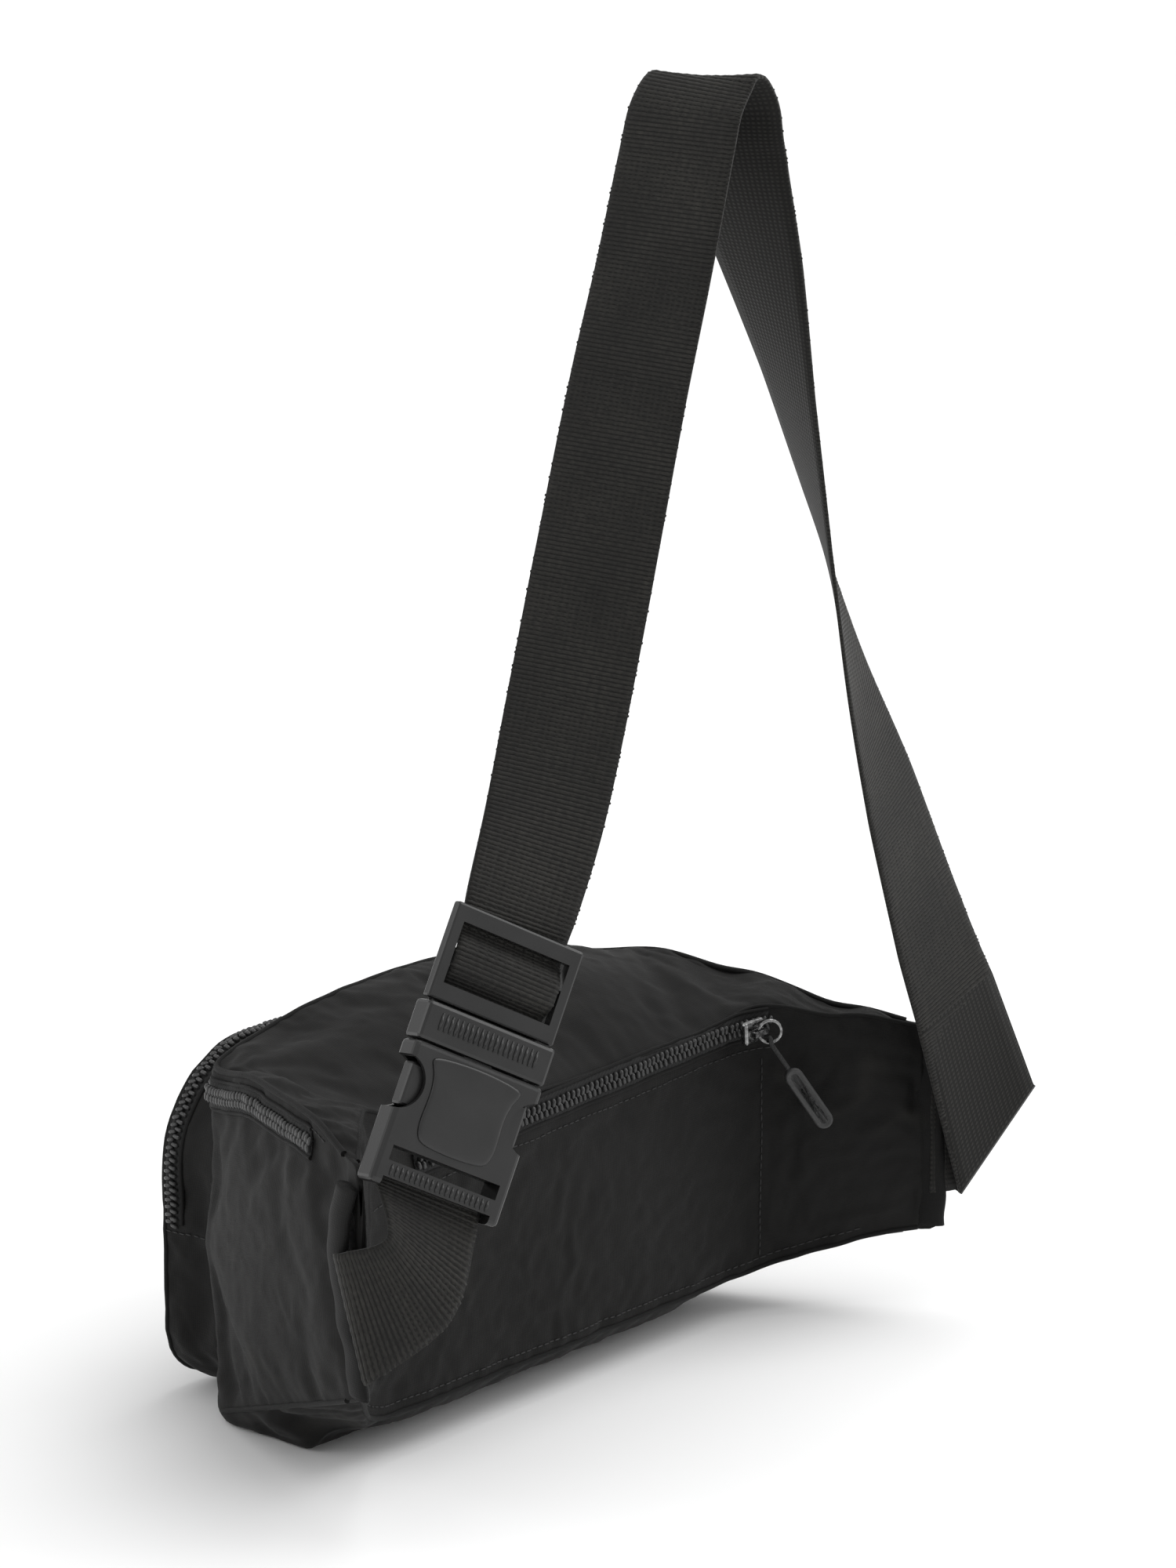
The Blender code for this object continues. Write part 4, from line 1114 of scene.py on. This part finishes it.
grips("plug_grips", 7.3, 5.4, 4.6, "plug")
grips("socket_grips", -39.8, 3.4, 5.0, "bag")
PLATE_EDGE = [(-13.5, -29), (-8, -30), (0, -30.4), (8, -30), (13.5, -29), (14.2, -22), (13.2, -14),
              (14.6, -7), (18, -3.4), (9, -2.2), (0, -1.8), (-9, -2.2), (-18, -3.4), (-14.6, -7),
              (-13.2, -14), (-14.2, -22)]
PLATE_MID = -16.0
PLATE_HALF = 14.0
rows = []
for inset, lift in ((0.0, 4.6), (0.0, 5.3), (0.5, 5.8), (1.2, 5.9), (6.0, 6.0)):
    shrink = 1 - inset / PLATE_HALF
    rows.append([on_face(x * shrink, PLATE_MID + (y - PLATE_MID) * shrink, lift) / MM for x, y in PLATE_EDGE])
rows.append([sum(rows[-1], Vector()) / len(PLATE_EDGE)] * len(PLATE_EDGE))
plate = skin("socket_plate", rows, closed=True)
welded(plate, 0.00002, capped=True)
smoother = plate.modifiers.new("rounded", "SUBSURF")
smoother.levels = 2
smoother.render_levels = 2
plate.data.materials.append(moulded)
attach(plate, "bag")


# Studio. A pale floor under a white world, a wide soft sky from above, and a
# weak lamp at each end of the pack.
floor_paint, tree, surface, place = finish_of("pale floor")
mottle = node(tree, "ShaderNodeTexNoise", {"Vector": place.outputs["Object"], "Scale": 2.0}).outputs["Fac"]
coloured(tree, surface, mottle, [(0.0, grey(0.90)), (1.0, grey(0.92))])
surface.inputs["Roughness"].default_value = 0.9
floor = bpy.data.meshes.new("floor")
floor.from_pydata([(-8, -8, 0), (8, -8, 0), (8, 8, 0), (-8, 8, 0)], [], [(0, 1, 2, 3)])
floor.materials.append(floor_paint)
show("floor", floor)
world = bpy.data.worlds.new("studio")
scene.world = world
world.use_nodes = True
world.node_tree.nodes["Background"].inputs["Color"].default_value = (1, 1, 1, 1)
world.node_tree.nodes["Background"].inputs["Strength"].default_value = 0.72
sun = bpy.data.objects.new("soft sky", bpy.data.lights.new("soft sky", "SUN"))
sun.data.energy = 1.5
sun.data.angle = math.radians(50)
sun.rotation_euler = Vector((-0.35, 0.25, 1.0)).to_track_quat("Z", "Y").to_euler()
scene.collection.objects.link(sun)
for name, place_at, power, size in (("near end", (1.5, -0.8, 0.9), 6, 0.9),
                                    ("far wing", (-1.2, 1.3, 1.1), 9, 1.0)):
    lamp = bpy.data.lights.new(name, "AREA")
    lamp.energy = power
    lamp.size = size
    light = bpy.data.objects.new(name, lamp)
    light.location = place_at
    light.rotation_euler = (Vector(place_at) - Vector((0, 0, 0.15))).to_track_quat("Z", "Y").to_euler()
    scene.collection.objects.link(light)
